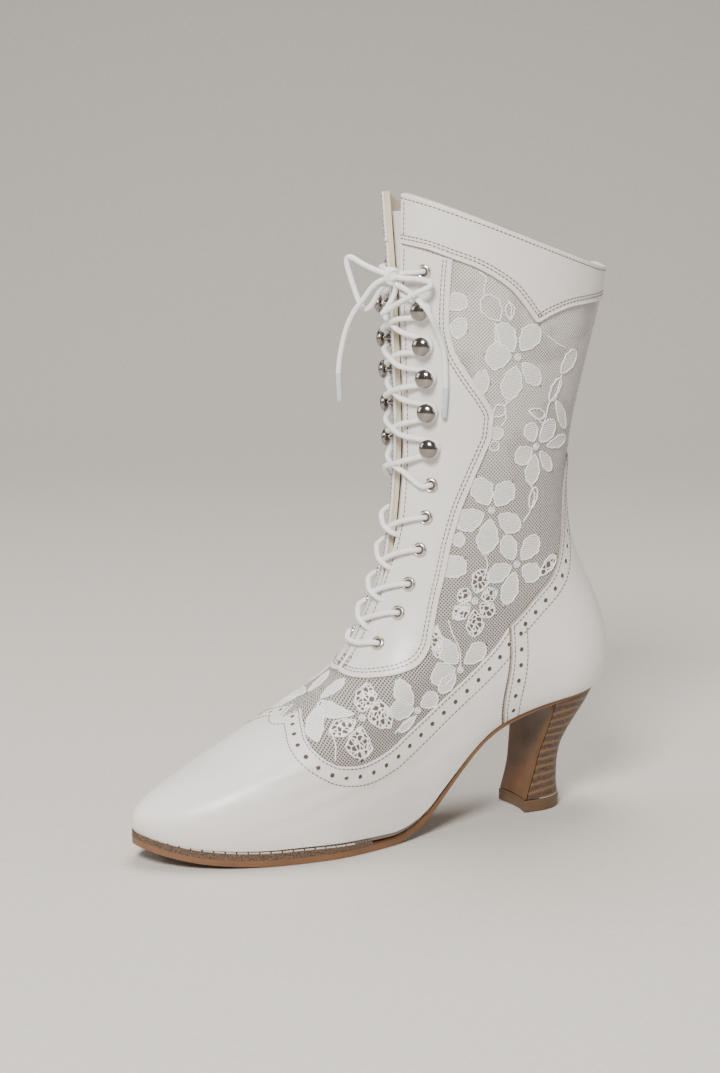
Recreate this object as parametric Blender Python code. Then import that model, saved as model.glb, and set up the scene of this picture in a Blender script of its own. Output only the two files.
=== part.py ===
"""Victorian lace-up boot on a spool heel, left foot, as separate solids.

The toe points along -X, the heel along +X, the lateral side is -Y and Z is up.
Sizes below are millimetres. The form of the last is a stack of rings: each ring is
level at its front and back ends, leans from the instep to the heel, and has a half
width on each side at ball, waist and heel. Every leather piece is read from it.
"""
import math
from collections import namedtuple

import bmesh
import bpy
import numpy as np
from mathutils import Matrix, Vector

MM = 0.001

# Leather and gaps
WALL = 1.8
OVERLAY = 1.0
SEAT_GAP = 0.8
MESH_GAP = 0.3
SOLE_GAP = 0.5
TONGUE_GAP = 0.9
TONGUE_THICK = 1.4
THROAT_START = 7.05
TOP_DIP = 6.0

# Sole stack
OUTSOLE_THICK = 3.0
INSOLE_THICK = 2.0
INSOLE_GAP = 1.2
WELT_INSIDE = 6.0
WELT_OUTSIDE = 3.0
WELT_END = 0.455
BED_ROWS = 5
ARCH_SKEW = 0.30

# Heel
HEEL_PIECE = 6.0
PIECE_GROW = 0.5
PIECE_INSET = 0.975
BREAST_HOLLOW = 1.5
BREAST_THICK = 1.2

# Hardware and lace
EYELET_OUTER = 3.65
EYELET_HOLE = 2.1
HOOK_RADIUS = 4.7
HOOK_STEM = 1.5
HOOK_CLEAR = 3.9
HOOK_TALL = 7.8
HOOK_WRAP = 3.6
LACE = 2.7
CROSS_LIFT = 0.45
CROSS_SHIFT = 0.006
LEATHER_TOP = SEAT_GAP + OVERLAY + MESH_GAP
LACE_LIFT = LEATHER_TOP + 0.2 + LACE / 2
FLOOR_LEVEL = 0.12

Ring = namedtuple("Ring", "front_x front_z back_x back_z ball_out ball_in waist_out waist_in heel nose back")

# One ring a level, from the feather line (level 0) to the collar (level 16)
RINGS = (
    Ring(-125.0, 16.0, 124.5, 66.0, 36.5, 33.5, 26.0, 21.0, 25.5, 90, 30),
    Ring(-126.3, 22.0, 127.3, 71.0, 38.2, 35.5, 28.0, 24.0, 27.5, 90, 31),
    Ring(-119.5, 30.0, 129.0, 77.5, 38.5, 36.0, 29.5, 27.0, 28.8, 84, 32),
    Ring(-104.0, 38.5, 129.3, 85.0, 38.0, 36.0, 30.5, 29.5, 29.6, 74, 33),
    Ring(-82.0, 47.5, 128.2, 93.0, 36.8, 35.5, 31.0, 30.5, 30.0, 66, 34),
    Ring(-58.5, 57.5, 125.6, 102.0, 35.3, 34.6, 31.2, 31.0, 29.8, 60, 34),
    Ring(-37.0, 68.0, 121.6, 112.0, 33.8, 33.6, 31.0, 31.0, 29.2, 55, 34),
    Ring(-19.0, 81.0, 116.8, 122.0, 32.2, 32.2, 30.5, 30.5, 28.6, 52, 35),
    Ring(-6.0, 98.0, 111.4, 133.5, 30.6, 30.6, 29.6, 29.6, 28.2, 50, 36),
    Ring(3.0, 116.0, 107.2, 146.0, 29.2, 29.2, 29.0, 29.0, 28.2, 48, 38),
    Ring(10.0, 137.0, 105.0, 160.0, 28.4, 28.4, 28.6, 28.6, 28.6, 47, 41),
    Ring(14.0, 162.0, 105.0, 178.0, 28.6, 28.6, 29.0, 29.0, 29.2, 47, 44),
    Ring(15.8, 190.0, 107.6, 200.0, 30.0, 30.0, 30.6, 30.6, 30.6, 48, 47),
    Ring(15.6, 220.0, 112.4, 222.0, 32.2, 32.2, 33.0, 33.0, 33.0, 50, 50),
    Ring(14.4, 252.0, 117.6, 243.0, 34.6, 34.6, 35.4, 35.4, 35.4, 52, 52),
    Ring(12.6, 284.0, 122.0, 262.0, 36.6, 36.6, 37.4, 37.4, 37.4, 54, 54),
    Ring(10.4, 317.5, 124.0, 279.5, 38.0, 38.0, 39.0, 39.0, 39.0, 56, 56),
)
TOP = len(RINGS) - 1
BALL_X = -42.0
WAIST_X = 22.0
HEEL_X = 98.0

# Underside of the sole along the middle: x, z
SOLE_LINE = (
    (-129, 9.5), (-118, 6.0), (-104, 2.8), (-88, 0.6), (-78, 0.0), (-14, 0.0),
    (-6, 1.2), (2, 4.2), (10, 9.6), (19, 18.6), (29, 28.2), (40, 38.0),
    (52, 46.6), (66, 53.0), (82, 57.6), (100, 61.0), (126, 65.0),
)
# Whole sole under the upper: x, thickness
SOLE_THICK = ((-129, 6.3), (-60, 6.3), (-30, 5.4), (-5, 4.4), (20, 3.9), (60, 3.2), (126, 2.0))
# Columns that the upper, the sole and the insole share, front to back
SHARES = (
    0, 0.03, 0.065, 0.105, 0.155, 0.205, 0.25, 0.29, 0.33, 0.37, 0.415, 0.455, 0.495, 0.535,
    0.575, 0.615, 0.66, 0.71, 0.765, 0.825, 0.885, 0.935, 0.97, 1.0,
)
# How far the sole edge stands out from the upper: x, reach
SOLE_REACH = ((-130, 3.0), (-20, 3.0), (30, 1.2), (126, 0.6))
# Half of the throat's gap: level, millimetres
THROAT = (
    (7.05, 0.6), (9.2, 1.0), (9.8, 1.8), (10.4, 4.2), (11.0, 5.0), (12.5, 4.8),
    (14.5, 5.3), (15.3, 7.2), (16.0, 9.2),
)
# Lower edge of the cuff: share of the way round to the back, level
CUFF_EDGE = (
    (0.06, 15.30), (0.09, 15.30), (0.125, 15.30), (0.163, 15.30), (0.21, 15.28),
    (0.255, 15.25), (0.32, 15.21), (0.378, 15.12), (0.438, 14.95), (0.482, 14.71),
    (0.53, 14.40), (0.57, 14.58), (0.64, 14.83), (0.72, 14.98), (0.79, 15.06),
    (0.86, 15.10), (0.93, 15.12), (1.0, 15.12),
)
FacingRow = namedtuple("FacingRow", "front_level back_share back_level")
FACING = (
    FacingRow(7.10, 0.270, 6.78), FacingRow(7.30, 0.303, 6.82), FacingRow(7.52, 0.319, 6.98),
    FacingRow(7.80, 0.323, 7.35), FacingRow(8.40, 0.308, 8.20), FacingRow(9.10, 0.300, 9.05),
    FacingRow(9.80, 0.302, 9.95), FacingRow(10.40, 0.320, 10.75), FacingRow(11.05, 0.360, 11.45),
    FacingRow(11.60, 0.390, 11.90), FacingRow(12.05, 0.409, 12.25), FacingRow(12.45, 0.409, 12.60),
    FacingRow(12.85, 0.380, 12.90), FacingRow(13.30, 0.310, 13.38), FacingRow(13.75, 0.260, 13.78),
    FacingRow(14.25, 0.243, 14.20), FacingRow(14.80, 0.246, 14.75), FacingRow(15.26, 0.254, 15.21),
)
EdgeRow = namedtuple("EdgeRow", "low_share top_share top_level")
VAMP = (
    EdgeRow(0.0, 0.0, 5.45), EdgeRow(0.03, 0.018, 5.64), EdgeRow(0.065, 0.035, 5.80),
    EdgeRow(0.105, 0.085, 5.56), EdgeRow(0.155, 0.138, 5.21), EdgeRow(0.205, 0.195, 4.72),
    EdgeRow(0.25, 0.247, 4.23), EdgeRow(0.29, 0.29, 3.79), EdgeRow(0.33, 0.328, 3.40),
    EdgeRow(0.37, 0.362, 3.07), EdgeRow(0.415, 0.407, 2.84), EdgeRow(0.455, 0.438, 3.02),
    EdgeRow(0.495, 0.461, 3.60), EdgeRow(0.535, 0.482, 4.25), EdgeRow(0.575, 0.502, 4.95),
    EdgeRow(0.615, 0.528, 5.83), EdgeRow(0.656, 0.556, 6.85),
)
COUNTER = (
    EdgeRow(0.66, 0.560, 6.88), EdgeRow(0.71, 0.625, 7.53), EdgeRow(0.765, 0.703, 8.15),
    EdgeRow(0.825, 0.760, 8.98), EdgeRow(0.885, 0.808, 10.00), EdgeRow(0.93, 0.845, 10.95),
    EdgeRow(0.955, 0.89, 11.28), EdgeRow(0.978, 0.945, 11.33), EdgeRow(1.0, 1.0, 11.35),
)
SIDE_BULGE = 0.014

HeelRow = namedtuple("HeelRow", "height front back half")
HEEL = (
    HeelRow(6.3, 82.2, 106.0, 13.2), HeelRow(14, 84.2, 104.9, 13.2), HeelRow(24, 86.6, 104.7, 13.9),
    HeelRow(34, 88.2, 105.8, 15.3), HeelRow(42, 89.8, 109.2, 17.3), HeelRow(50, 91.0, 114.5, 19.9),
    HeelRow(57, 91.6, 119.6, 22.3), HeelRow(64, 91.8, 124.0, 24.3),
)

# Rows of the lacing from the bottom: share of the way round, level
EYELET_ROWS = ((0.130, 7.88), (0.163, 8.70), (0.170, 9.43), (0.185, 10.20), (0.193, 10.85), (0.203, 11.45))
HOOK_ROWS = ((0.193, 12.12), (0.180, 12.73), (0.172, 13.28), (0.160, 13.78), (0.155, 14.33))
TOP_EYELET = (0.160, 14.93)

Cord = namedtuple("Cord", "name points")
BOW = (
    Cord("bow_loop_medial", (
        (6.5, -1.2, 277.8), (5.0, 2.4, 278.7), (1.4, 11.5, 281.3), (-1.2, 17.8, 284.1), (-2.3, 20.6, 285.1),
        (-3.1, 22.4, 284.3), (-3.1, 22.6, 282.1), (-2.0, 19.9, 274.5), (-0.3, 15.6, 264.7), (0.6, 13.3, 261.0),
        (1.6, 10.8, 259.6), (2.6, 8.4, 260.6), (3.6, 5.9, 263.7), (5.0, 2.4, 269.5), (6.2, 0.2, 271.9),
    )),
    Cord("bow_loop_lateral", (
        (8.2, -9.4, 276.9), (9.9, -14.6, 276.6), (12.5, -18.8, 276.8), (15.0, -22.2, 276.3), (17.0, -24.8, 276.1),
        (18.3, -27.2, 275.2), (17.2, -28.1, 273.6), (15.2, -27.5, 272.5), (12.3, -26.1, 271.2), (9.2, -23.1, 268.9),
        (7.6, -18.5, 266.5), (6.1, -11.6, 263.4), (4.3, -8.4, 261.4), (2.6, -7.0, 260.0), (1.9, -5.9, 258.9),
        (3.2, -4.8, 259.0), (6.1, -4.3, 262.2), (8.8, -4.8, 266.7), (9.8, -5.8, 270.4), (9.4, -6.4, 272.4),
    )),
    Cord("bow_end_medial", (
        (4.9, -3.1, 275.5), (1.6, 1.4, 272.4), (-1.2, 5.8, 266.3), (-5.0, 11.2, 258.0), (-7.0, 13.8, 251.2),
        (-8.2, 15.4, 244.8), (-9.4, 16.9, 235.8), (-9.9, 17.4, 228.3),
    )),
    Cord("bow_end_lateral", (
        (8.0, -9.6, 273.4), (9.3, -13.2, 272.3), (11.1, -16.3, 270.6), (12.5, -19.8, 268.6), (12.9, -24.4, 266.4),
        (13.9, -28.4, 264.0), (15.8, -29.8, 260.3), (18.7, -29.2, 255.8), (21.8, -27.6, 250.6), (24.7, -26.7, 244.1),
        (26.1, -26.4, 236.4), (26.8, -26.0, 224.3),
    )),
)
AGLETS = (
    Cord("aglet_medial", ((-9.9, 17.4, 227.9), (-9.4, 16.7, 214.1))),
    Cord("aglet_lateral", ((26.8, -26.0, 223.9), (26.5, -24.8, 209.0))),
)
TOP_STRANDS = (
    Cord("lace_top_lateral", ((13.6, -17.2, 279.6), (12.2, -14.8, 279.3), (11.1, -12.0, 278.9), (10.5, -9.8, 278.5))),
    Cord("lace_top_medial", ((13.6, 17.2, 279.6), (11.1, 12.2, 279.8), (9.8, 6.4, 279.5), (10.0, 0.6, 278.9))),
)
KNOT_CENTRE = (8.1, -5.2, 276.8)
KNOT_SIZE = (3.0, 3.8, 3.3)


def natural_slopes(values):
    """Second derivatives of the smooth curve through evenly spaced rows."""
    count = len(values)
    matrix = np.eye(count)
    right = np.zeros_like(values)
    for i in range(1, count - 1):
        matrix[i, i - 1:i + 2] = (1, 4, 1)
        right[i] = 6 * (values[i - 1] - 2 * values[i] + values[i + 1])
    return np.linalg.solve(matrix, right)


RING_VALUES = np.array(RINGS, float)
RING_BENDS = natural_slopes(RING_VALUES)


def ring_at(level):
    level = np.clip(np.asarray(level, float), 0, TOP)
    i = np.minimum(level.astype(int), TOP - 1)
    t = (level - i)[..., None]
    low, high = RING_VALUES[i], RING_VALUES[i + 1]
    bend = ((1 - t) ** 3 - (1 - t)) * RING_BENDS[i] / 6 + (t ** 3 - t) * RING_BENDS[i + 1] / 6
    row = low * (1 - t) + high * t + bend
    return Ring(*(row[..., k] for k in range(len(Ring._fields))))


def along(table, x):
    """Smooth line through a two-column table, with no overshoot."""
    rows = np.array(table, float)
    xs, ys = rows[:, 0], rows[:, 1]
    steps = np.diff(xs)
    rates = np.diff(ys) / steps
    slopes = np.zeros(len(xs))
    slopes[0], slopes[-1] = rates[0], rates[-1]
    product = rates[:-1] * rates[1:]
    slopes[1:-1] = np.where(product > 0, 2 * product / (rates[:-1] + rates[1:] + 1e-12), 0)
    x = np.clip(x, xs[0], xs[-1])
    i = np.clip(np.searchsorted(xs, x) - 1, 0, len(xs) - 2)
    t = (x - xs[i]) / steps[i]
    rise = ys[i] * (1 + 2 * t) * (1 - t) ** 2 + ys[i + 1] * t * t * (3 - 2 * t)
    return rise + steps[i] * t * (1 - t) * (slopes[i] * (1 - t) - slopes[i + 1] * t)


def ease(t):
    t = np.clip(t, 0, 1)
    return t * t * (3 - 2 * t)


def ground(x, y):
    """Underside of the sole; the lateral edge stays down a little further back."""
    weight = ease((64 - x) / 50) * ease((x + 110) / 50)
    return along(SOLE_LINE, x + ARCH_SKEW * y * weight)


def seat(x, y):
    """Top of the whole sole, where the upper's lower edge and the insole rest."""
    return ground(x, y) + along(SOLE_THICK, x)


def widths(x, ring, medial):
    ball = np.where(medial, ring.ball_in, ring.ball_out)
    waist = np.where(medial, ring.waist_in, ring.waist_out)
    to_waist = ease((x - BALL_X) / (WAIST_X - BALL_X))
    to_heel = ease((x - WAIST_X) / (HEEL_X - WAIST_X))
    return ball + (waist - ball) * to_waist + (ring.heel - waist) * to_heel


def round_end(share, power):
    return (1 - (1 - np.clip(share, 0, 1)) ** 2) ** (1 / power)


def last(around, level):
    """A point of the upper's outside. around runs from 0 at the front to 1 or -1 at the
    back, negative on the lateral side; level runs from the feather line to the collar."""
    around, level = np.broadcast_arrays(np.asarray(around, float), np.asarray(level, float))
    around = (around + 1) % 2 - 1
    ring = ring_at(level)
    share = (1 - np.cos(np.pi * around)) / 2
    x = ring.front_x + (ring.back_x - ring.front_x) * share
    z = ring.front_z + (ring.back_z - ring.front_z) * share
    length = np.hypot(ring.back_x - ring.front_x, ring.back_z - ring.front_z)
    fullness = 2 - 0.28 * np.clip(1 - level / 4, 0, 1)
    half = widths(x, ring, around > 0)
    half = half * round_end(share * length / ring.nose, fullness)
    half = half * round_end((1 - share) * length / ring.back, 2)
    y = np.where(around > 0, half, -half)
    rim = np.clip((level - 11) / 5, 0, 1) ** 2
    z = z - TOP_DIP * rim * np.sin(np.pi * np.abs(around)) * np.clip(np.abs(around) * 1.3, 0, 1)
    first = RINGS[0]
    chord = first.front_z + (first.back_z - first.front_z) * (x - first.front_x) / (first.back_x - first.front_x)
    z = z + np.clip(1 - level / 6, 0, 1) ** 2 * (seat(x, y) - chord)
    return np.stack([x, y, z], -1)


def outward(around, level):
    step = 0.002
    low = np.clip(np.asarray(level) - step, 0, TOP)
    high = np.clip(np.asarray(level) + step, 0, TOP)
    sideways = last(around + step, level) - last(around - step, level)
    upward = last(around, high) - last(around, low)
    normal = np.cross(upward, sideways)
    return normal / np.linalg.norm(normal, axis=-1, keepdims=True)


def skin(around, level, lift):
    around, level = np.broadcast_arrays(np.asarray(around, float), np.asarray(level, float))
    return last(around, level) + outward(around, level) * np.asarray(lift)[..., None]


def plan(around, reach):
    """The feather line seen from above, moved outwards by reach."""
    step = 0.002
    point = last(around, 0.0)[..., :2]
    run = last(around + step, 0.0)[..., :2] - last(around - step, 0.0)[..., :2]
    run = run / np.linalg.norm(run, axis=-1, keepdims=True)
    return point + np.stack([-run[..., 1], run[..., 0]], -1) * np.asarray(reach)[..., None]


def throat_share(level):
    """Where the throat's edge runs, as a share of the way round."""
    ring = ring_at(level)
    half_gap = np.where(np.asarray(level) < THROAT_START - 0.01, 0, along(THROAT, level))
    depth = ring.nose * (1 - np.sqrt(1 - (half_gap / ring.ball_out) ** 2))
    length = np.hypot(ring.back_x - ring.front_x, ring.back_z - ring.front_z)
    return np.arccos(1 - 2 * depth / length) / np.pi


def material(name, colour, roughness, metallic=0.0):
    mat = bpy.data.materials.new(name)
    mat.use_nodes = True
    shader = mat.node_tree.nodes["Principled BSDF"]
    shader.inputs["Base Color"].default_value = (*colour, 1)
    shader.inputs["Roughness"].default_value = roughness
    shader.inputs["Metallic"].default_value = metallic
    return mat


def place(name, mesh, mat):
    obj = bpy.data.objects.new(name, mesh)
    bpy.context.collection.objects.link(obj)
    mesh.materials.append(mat)
    return obj


def finish(bm, name, mat, sharp=35):
    bmesh.ops.recalc_face_normals(bm, faces=bm.faces[:])
    bmesh.ops.triangulate(bm, faces=bm.faces[:])
    bmesh.ops.scale(bm, vec=Vector((MM, MM, MM)), verts=bm.verts[:])
    mesh = bpy.data.meshes.new(name)
    bm.to_mesh(mesh)
    bm.free()
    mesh.shade_smooth()
    mesh.set_sharp_from_angle(angle=math.radians(sharp))
    return place(name, mesh, mat)


def plate(name, columns, rows, near, far, mat):
    """A closed sheet between two surfaces that share one grid of columns and rows.
    near and far turn arrays of column and row numbers into points."""
    bm = bmesh.new()
    bmesh.ops.create_grid(bm, x_segments=columns, y_segments=rows, size=0.5)
    verts = bm.verts[:]
    column = np.array([round((v.co.x + 0.5) * columns) for v in verts])
    row = np.array([round((v.co.y + 0.5) * rows) for v in verts])
    tags = (bm.verts.layers.int.new("column"), bm.verts.layers.int.new("row"))
    verts = bm.verts[:]
    for vert, point, c, r in zip(verts, near(column, row), column, row):
        vert.co = point
        vert[tags[0]] = int(c)
        vert[tags[1]] = int(r)
    bmesh.ops.remove_doubles(bm, verts=bm.verts[:], dist=0.02)
    grown = bmesh.ops.extrude_face_region(bm, geom=bm.faces[:], use_keep_orig=True)["geom"]
    raised = [item for item in grown if isinstance(item, bmesh.types.BMVert)]
    column = np.array([v[tags[0]] for v in raised])
    row = np.array([v[tags[1]] for v in raised])
    for vert, point in zip(raised, far(column, row)):
        vert.co = point
    return finish(bm, name, mat)


def leather(name, around, level, low, high, mat):
    """A piece of the upper between two lifts; around and level are tables by column, row."""
    around = np.asarray(around)
    level = np.asarray(level)
    return plate(
        name, around.shape[0] - 1, around.shape[1] - 1,
        lambda c, r: skin(around[c, r], level[c, r], low),
        lambda c, r: skin(around[c, r], level[c, r], high), mat)


def make_upper(mat):
    """One hollow wall, open at the collar, down the throat and underneath."""
    levels = np.array([0, 0.4, 0.9, 1.4, 2.1, 2.9, 3.7, 4.4, 5.1, 5.8, 6.4, THROAT_START, 7.9, 8.7, 9.5,
                       10.3, 11.2, 12.3, 13.5, 14.8, 16])
    share = np.array(SHARES)[:, None]
    edge = throat_share(levels)[None, :]
    lateral = -(edge + (1 - edge) * share)
    medial = (edge + (1 - edge) * share)[-2::-1]
    around = np.vstack([lateral, medial])
    return leather("upper", around, np.broadcast_to(levels, around.shape), -WALL, 0.0, mat)


def both_sides(rows):
    """Columns of an edge table from the lateral end, round the middle, to the medial end."""
    low = np.array([r[0] for r in rows])
    top = np.array([r[1] for r in rows])
    level = np.array([r[2] for r in rows])
    return low, top, level


def make_vamp(mat):
    low, top, level = both_sides(VAMP)
    low = np.concatenate([-low[::-1], low[1:]])
    top = np.concatenate([-top[::-1], top[1:]])
    level = np.concatenate([level[::-1], level[1:]])
    t = np.array([0, 0.06, 0.13, 0.21, 0.3, 0.41, 0.53, 0.66, 0.82, 1.0])
    bulge = SIDE_BULGE * (np.abs(low) / VAMP[-1].low_share) ** 4 * np.sign(low)
    around = low[:, None] + (top - low)[:, None] * t + bulge[:, None] * np.sin(np.pi * t)
    level = FLOOR_LEVEL + (level[:, None] - FLOOR_LEVEL) * t
    return leather("vamp", around, level, SEAT_GAP, SEAT_GAP + OVERLAY, mat)


def make_counter(mat):
    low, top, level = both_sides(COUNTER)
    low = np.concatenate([-low, low[-2::-1]])
    top = np.concatenate([-top, top[-2::-1]])
    level = np.concatenate([level, level[-2::-1]])
    t = np.array([0, 0.05, 0.11, 0.18, 0.27, 0.39, 0.53, 0.68, 0.84, 1.0])
    bulge = SIDE_BULGE * np.clip(1 - (np.abs(low) - COUNTER[0].low_share) / 0.2, 0, 1) ** 2 * np.sign(low)
    around = low[:, None] + (top - low)[:, None] * t + bulge[:, None] * np.sin(np.pi * t)
    level = FLOOR_LEVEL + (level[:, None] - FLOOR_LEVEL) * t
    return leather("counter", around, level, SEAT_GAP, SEAT_GAP + OVERLAY, mat)


def make_cuff(mat):
    share = np.array([row[0] for row in CUFF_EDGE])
    low = np.array([row[1] for row in CUFF_EDGE])
    t = np.array([0, 0.35, 0.7, 1.0])
    level = low[:, None] + (TOP - low)[:, None] * t
    edge = throat_share(level)
    start = CUFF_EDGE[0][0]
    around = edge + (share[:, None] - start) / (1 - start) * (1 - edge)
    around = np.vstack([-around, around[-2::-1]])
    level = np.vstack([level, level[-2::-1]])
    return leather("cuff", around, level, SEAT_GAP, SEAT_GAP + OVERLAY, mat)


def make_facing(name, side, mat):
    front = np.array([row.front_level for row in FACING])
    back = np.array([row.back_share for row in FACING])
    back_level = np.array([row.back_level for row in FACING])
    t = np.linspace(0, 1, 6)[:, None]
    level = front + (back_level - front) * t
    edge = throat_share(front)
    around = side * (edge + (back - edge) * t)
    return leather(name, around, level, SEAT_GAP, SEAT_GAP + OVERLAY, mat)


def make_tongue(mat):
    share = np.array([-0.2, -0.145, -0.09, -0.045, 0, 0.045, 0.09, 0.145, 0.2])[:, None]
    levels = np.array([6.2, 6.9, 7.6, 8.3, 9.0, 9.7, 10.4, 11.2, 12.2, 13.4, 14.6, 15.7])[None, :]
    under = -(WALL + TONGUE_GAP)
    return leather("tongue", share + 0 * levels, levels + 0 * share, under - TONGUE_THICK, under, mat)


def bed(name, reach, bottom, top, mat):
    """A plate over the sole's outline: reach moves the edge, bottom and top give its faces."""
    share = np.array(SHARES)
    left = plan(-share, reach(last(share, 0.0)[..., 0]))
    right = plan(share, reach(last(share, 0.0)[..., 0]))
    across = 0.5 - 0.5 * np.cos(np.linspace(0, math.pi, BED_ROWS + 1))

    def spot(c, r, height):
        xy = left[c] + (right[c] - left[c]) * across[r][:, None]
        return np.column_stack([xy, height(xy[:, 0], xy[:, 1])])

    return plate(name, len(SHARES) - 1, BED_ROWS, lambda c, r: spot(c, r, bottom), lambda c, r: spot(c, r, top), mat)


def make_outsole(mat):
    return bed("outsole", lambda x: along(SOLE_REACH, x), ground,
               lambda x, y: ground(x, y) + np.minimum(OUTSOLE_THICK, along(SOLE_THICK, x) - SOLE_GAP), mat)


def make_insole(mat):
    return bed("insole", lambda x: 0 * x - WALL - INSOLE_GAP, seat, lambda x, y: seat(x, y) + INSOLE_THICK, mat)


def make_welt(mat):
    """The rand strip round the forefoot, which thins out towards the arch."""
    half = [share for share in SHARES if share <= WELT_END]
    around = np.array([-share for share in half[:0:-1]] + half)
    reach = (-WELT_INSIDE, -1.0, WELT_OUTSIDE)

    def spot(c, r, height):
        xy = plan(around[c], np.array(reach)[r])
        return np.column_stack([xy, height(xy[:, 0], xy[:, 1])])

    return plate("welt", len(around) - 1, 2,
                 lambda c, r: spot(c, r, lambda x, y: ground(x, y) + OUTSOLE_THICK + SOLE_GAP),
                 lambda c, r: spot(c, r, lambda x, y: seat(x, y) - SOLE_GAP), mat)


def heel_row(share):
    rows = np.array(HEEL, float)
    height = rows[0, 0] + (rows[-1, 0] - rows[0, 0]) * share
    return HeelRow(height, *(np.interp(height, rows[:, 0], rows[:, k]) for k in (1, 2, 3)))


def heel_outline(row, grow=0.0):
    """The D of the heel seen from above: hollow breast, straight sides, round back."""
    half = row.half + grow
    front = row.front - grow
    back = row.back + grow
    side = front + 0.3 * (back - front)
    arc = np.linspace(-math.pi / 2, math.pi / 2, 13)
    breast = [(front + BREAST_HOLLOW * (1 - t * t), half * t) for t in (1, 0.5, 0, -0.5, -1)]
    return breast + [(side + (back - side) * math.cos(a), half * math.sin(a)) for a in arc]


def closed_loft(bm, rings):
    """Joins a stack of outlines, lowest first, and closes both ends."""
    count = len(rings[0])
    bmesh.ops.create_grid(bm, x_segments=count, y_segments=len(rings) - 1, size=0.5)
    for vert in bm.verts:
        i = round((vert.co.x + 0.5) * count) % count
        k = round((vert.co.y + 0.5) * (len(rings) - 1))
        vert.co = rings[k][i]
    bmesh.ops.remove_doubles(bm, verts=bm.verts[:], dist=0.001)
    edges = [edge for edge in bm.edges if edge.is_boundary]
    bmesh.ops.holes_fill(bm, edges=edges, sides=0)
    bmesh.ops.triangulate(bm, faces=[face for face in bm.faces if len(face.verts) > 4])


def make_heel(mat):
    rings = []
    start = HEEL_PIECE + MESH_GAP
    for share in (0, 0.14, 0.3, 0.46, 0.6, 0.72, 0.84, 0.93, 1.0):
        ring = []
        for x, y in heel_outline(heel_row(share)):
            top = float(ground(x, y)) - MESH_GAP
            ring.append(Vector((x, y, start + (top - start) * share)))
        rings.append(ring)
    bm = bmesh.new()
    closed_loft(bm, rings)
    return finish(bm, "heel_block", mat)


def make_breast(mat):
    """The smooth leather cover on the hollow front of the heel."""
    across = np.linspace(-1, 1, 5)
    shares = np.linspace(0, 1, 8)
    start = HEEL_PIECE + MESH_GAP

    def spot(c, r, forward):
        points = []
        for i, k in zip(c, r):
            row = heel_row(shares[k])
            x = row.front + BREAST_HOLLOW * (1 - across[i] ** 2) - forward
            y = row.half * across[i]
            top = float(ground(x, y)) - MESH_GAP
            points.append((x, y, start + (top - start) * shares[k]))
        return points

    return plate("heel_breast", 4, 7, lambda c, r: spot(c, r, MESH_GAP + BREAST_THICK),
                 lambda c, r: spot(c, r, MESH_GAP), mat)


def make_top_piece(mat):
    foot = heel_row(0.0)
    outline = heel_outline(foot, PIECE_GROW)
    outline = [(x - BREAST_THICK if x < foot.front + BREAST_HOLLOW + PIECE_GROW else x, y) for x, y in outline]
    middle = (foot.front + foot.back) / 2
    inset = [(middle + (x - middle) * PIECE_INSET, y * PIECE_INSET) for x, y in outline]
    bm = bmesh.new()
    closed_loft(bm, [[Vector((x, y, 0)) for x, y in inset],
                     [Vector((x, y, PIECE_GROW)) for x, y in outline],
                     [Vector((x, y, HEEL_PIECE)) for x, y in outline]])
    return finish(bm, "top_piece", mat)


def turned(name, profile, steps, closed):
    """A mesh turned round Z from a profile of radius and height."""
    bm = bmesh.new()
    verts = [bm.verts.new((r * MM, 0, z * MM)) for r, z in profile]
    pairs = list(zip(verts, verts[1:]))
    if closed:
        pairs.append((verts[-1], verts[0]))
    edges = [bm.edges.new(pair) for pair in pairs]
    bmesh.ops.spin(bm, geom=verts + edges, cent=(0, 0, 0), axis=(0, 0, 1), angle=2 * math.pi,
                   steps=steps, use_merge=True)
    bmesh.ops.remove_doubles(bm, verts=bm.verts[:], dist=1e-6)
    bmesh.ops.recalc_face_normals(bm, faces=bm.faces[:])
    mesh = bpy.data.meshes.new(name)
    bm.to_mesh(mesh)
    bm.free()
    mesh.shade_smooth()
    mesh.set_sharp_from_angle(angle=math.radians(50))
    return mesh


def stand_on(name, mesh, around, level, lift):
    """Stands a turned piece on the leather, its axis along the outward normal."""
    spot = skin(around, level, lift)
    up = Vector(outward(around, level))
    obj = bpy.data.objects.new(name, mesh)
    bpy.context.collection.objects.link(obj)
    obj.matrix_world = Matrix.Translation(Vector(spot) * MM) @ up.to_track_quat("Z", "X").to_matrix().to_4x4()
    return obj


def make_hardware(eyelet_mat, hook_mat):
    eyelet = turned("eyelet_ring", (
        (EYELET_HOLE, 0.0), (EYELET_OUTER, 0.0), (EYELET_OUTER - 0.5, 0.9), (EYELET_HOLE + 0.2, 0.9)), 10, True)
    eyelet.materials.append(eyelet_mat)
    hook = turned("hook_button", (
        (0, 0), (HOOK_STEM, 0), (HOOK_STEM, HOOK_CLEAR), (HOOK_RADIUS * 0.9, HOOK_CLEAR),
        (HOOK_RADIUS, HOOK_CLEAR + 1.3), (HOOK_RADIUS * 0.72, HOOK_TALL - 0.9), (0, HOOK_TALL)), 10, False)
    hook.materials.append(hook_mat)
    for side, word in ((-1, "lateral"), (1, "medial")):
        for number, (share, level) in enumerate(EYELET_ROWS + (TOP_EYELET,), 1):
            stand_on(f"eyelet_{word}_{number}", eyelet, side * share, level, LEATHER_TOP)
        for number, (share, level) in enumerate(HOOK_ROWS, 1):
            stand_on(f"hook_{word}_{number}", hook, side * share, level, LEATHER_TOP)


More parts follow.
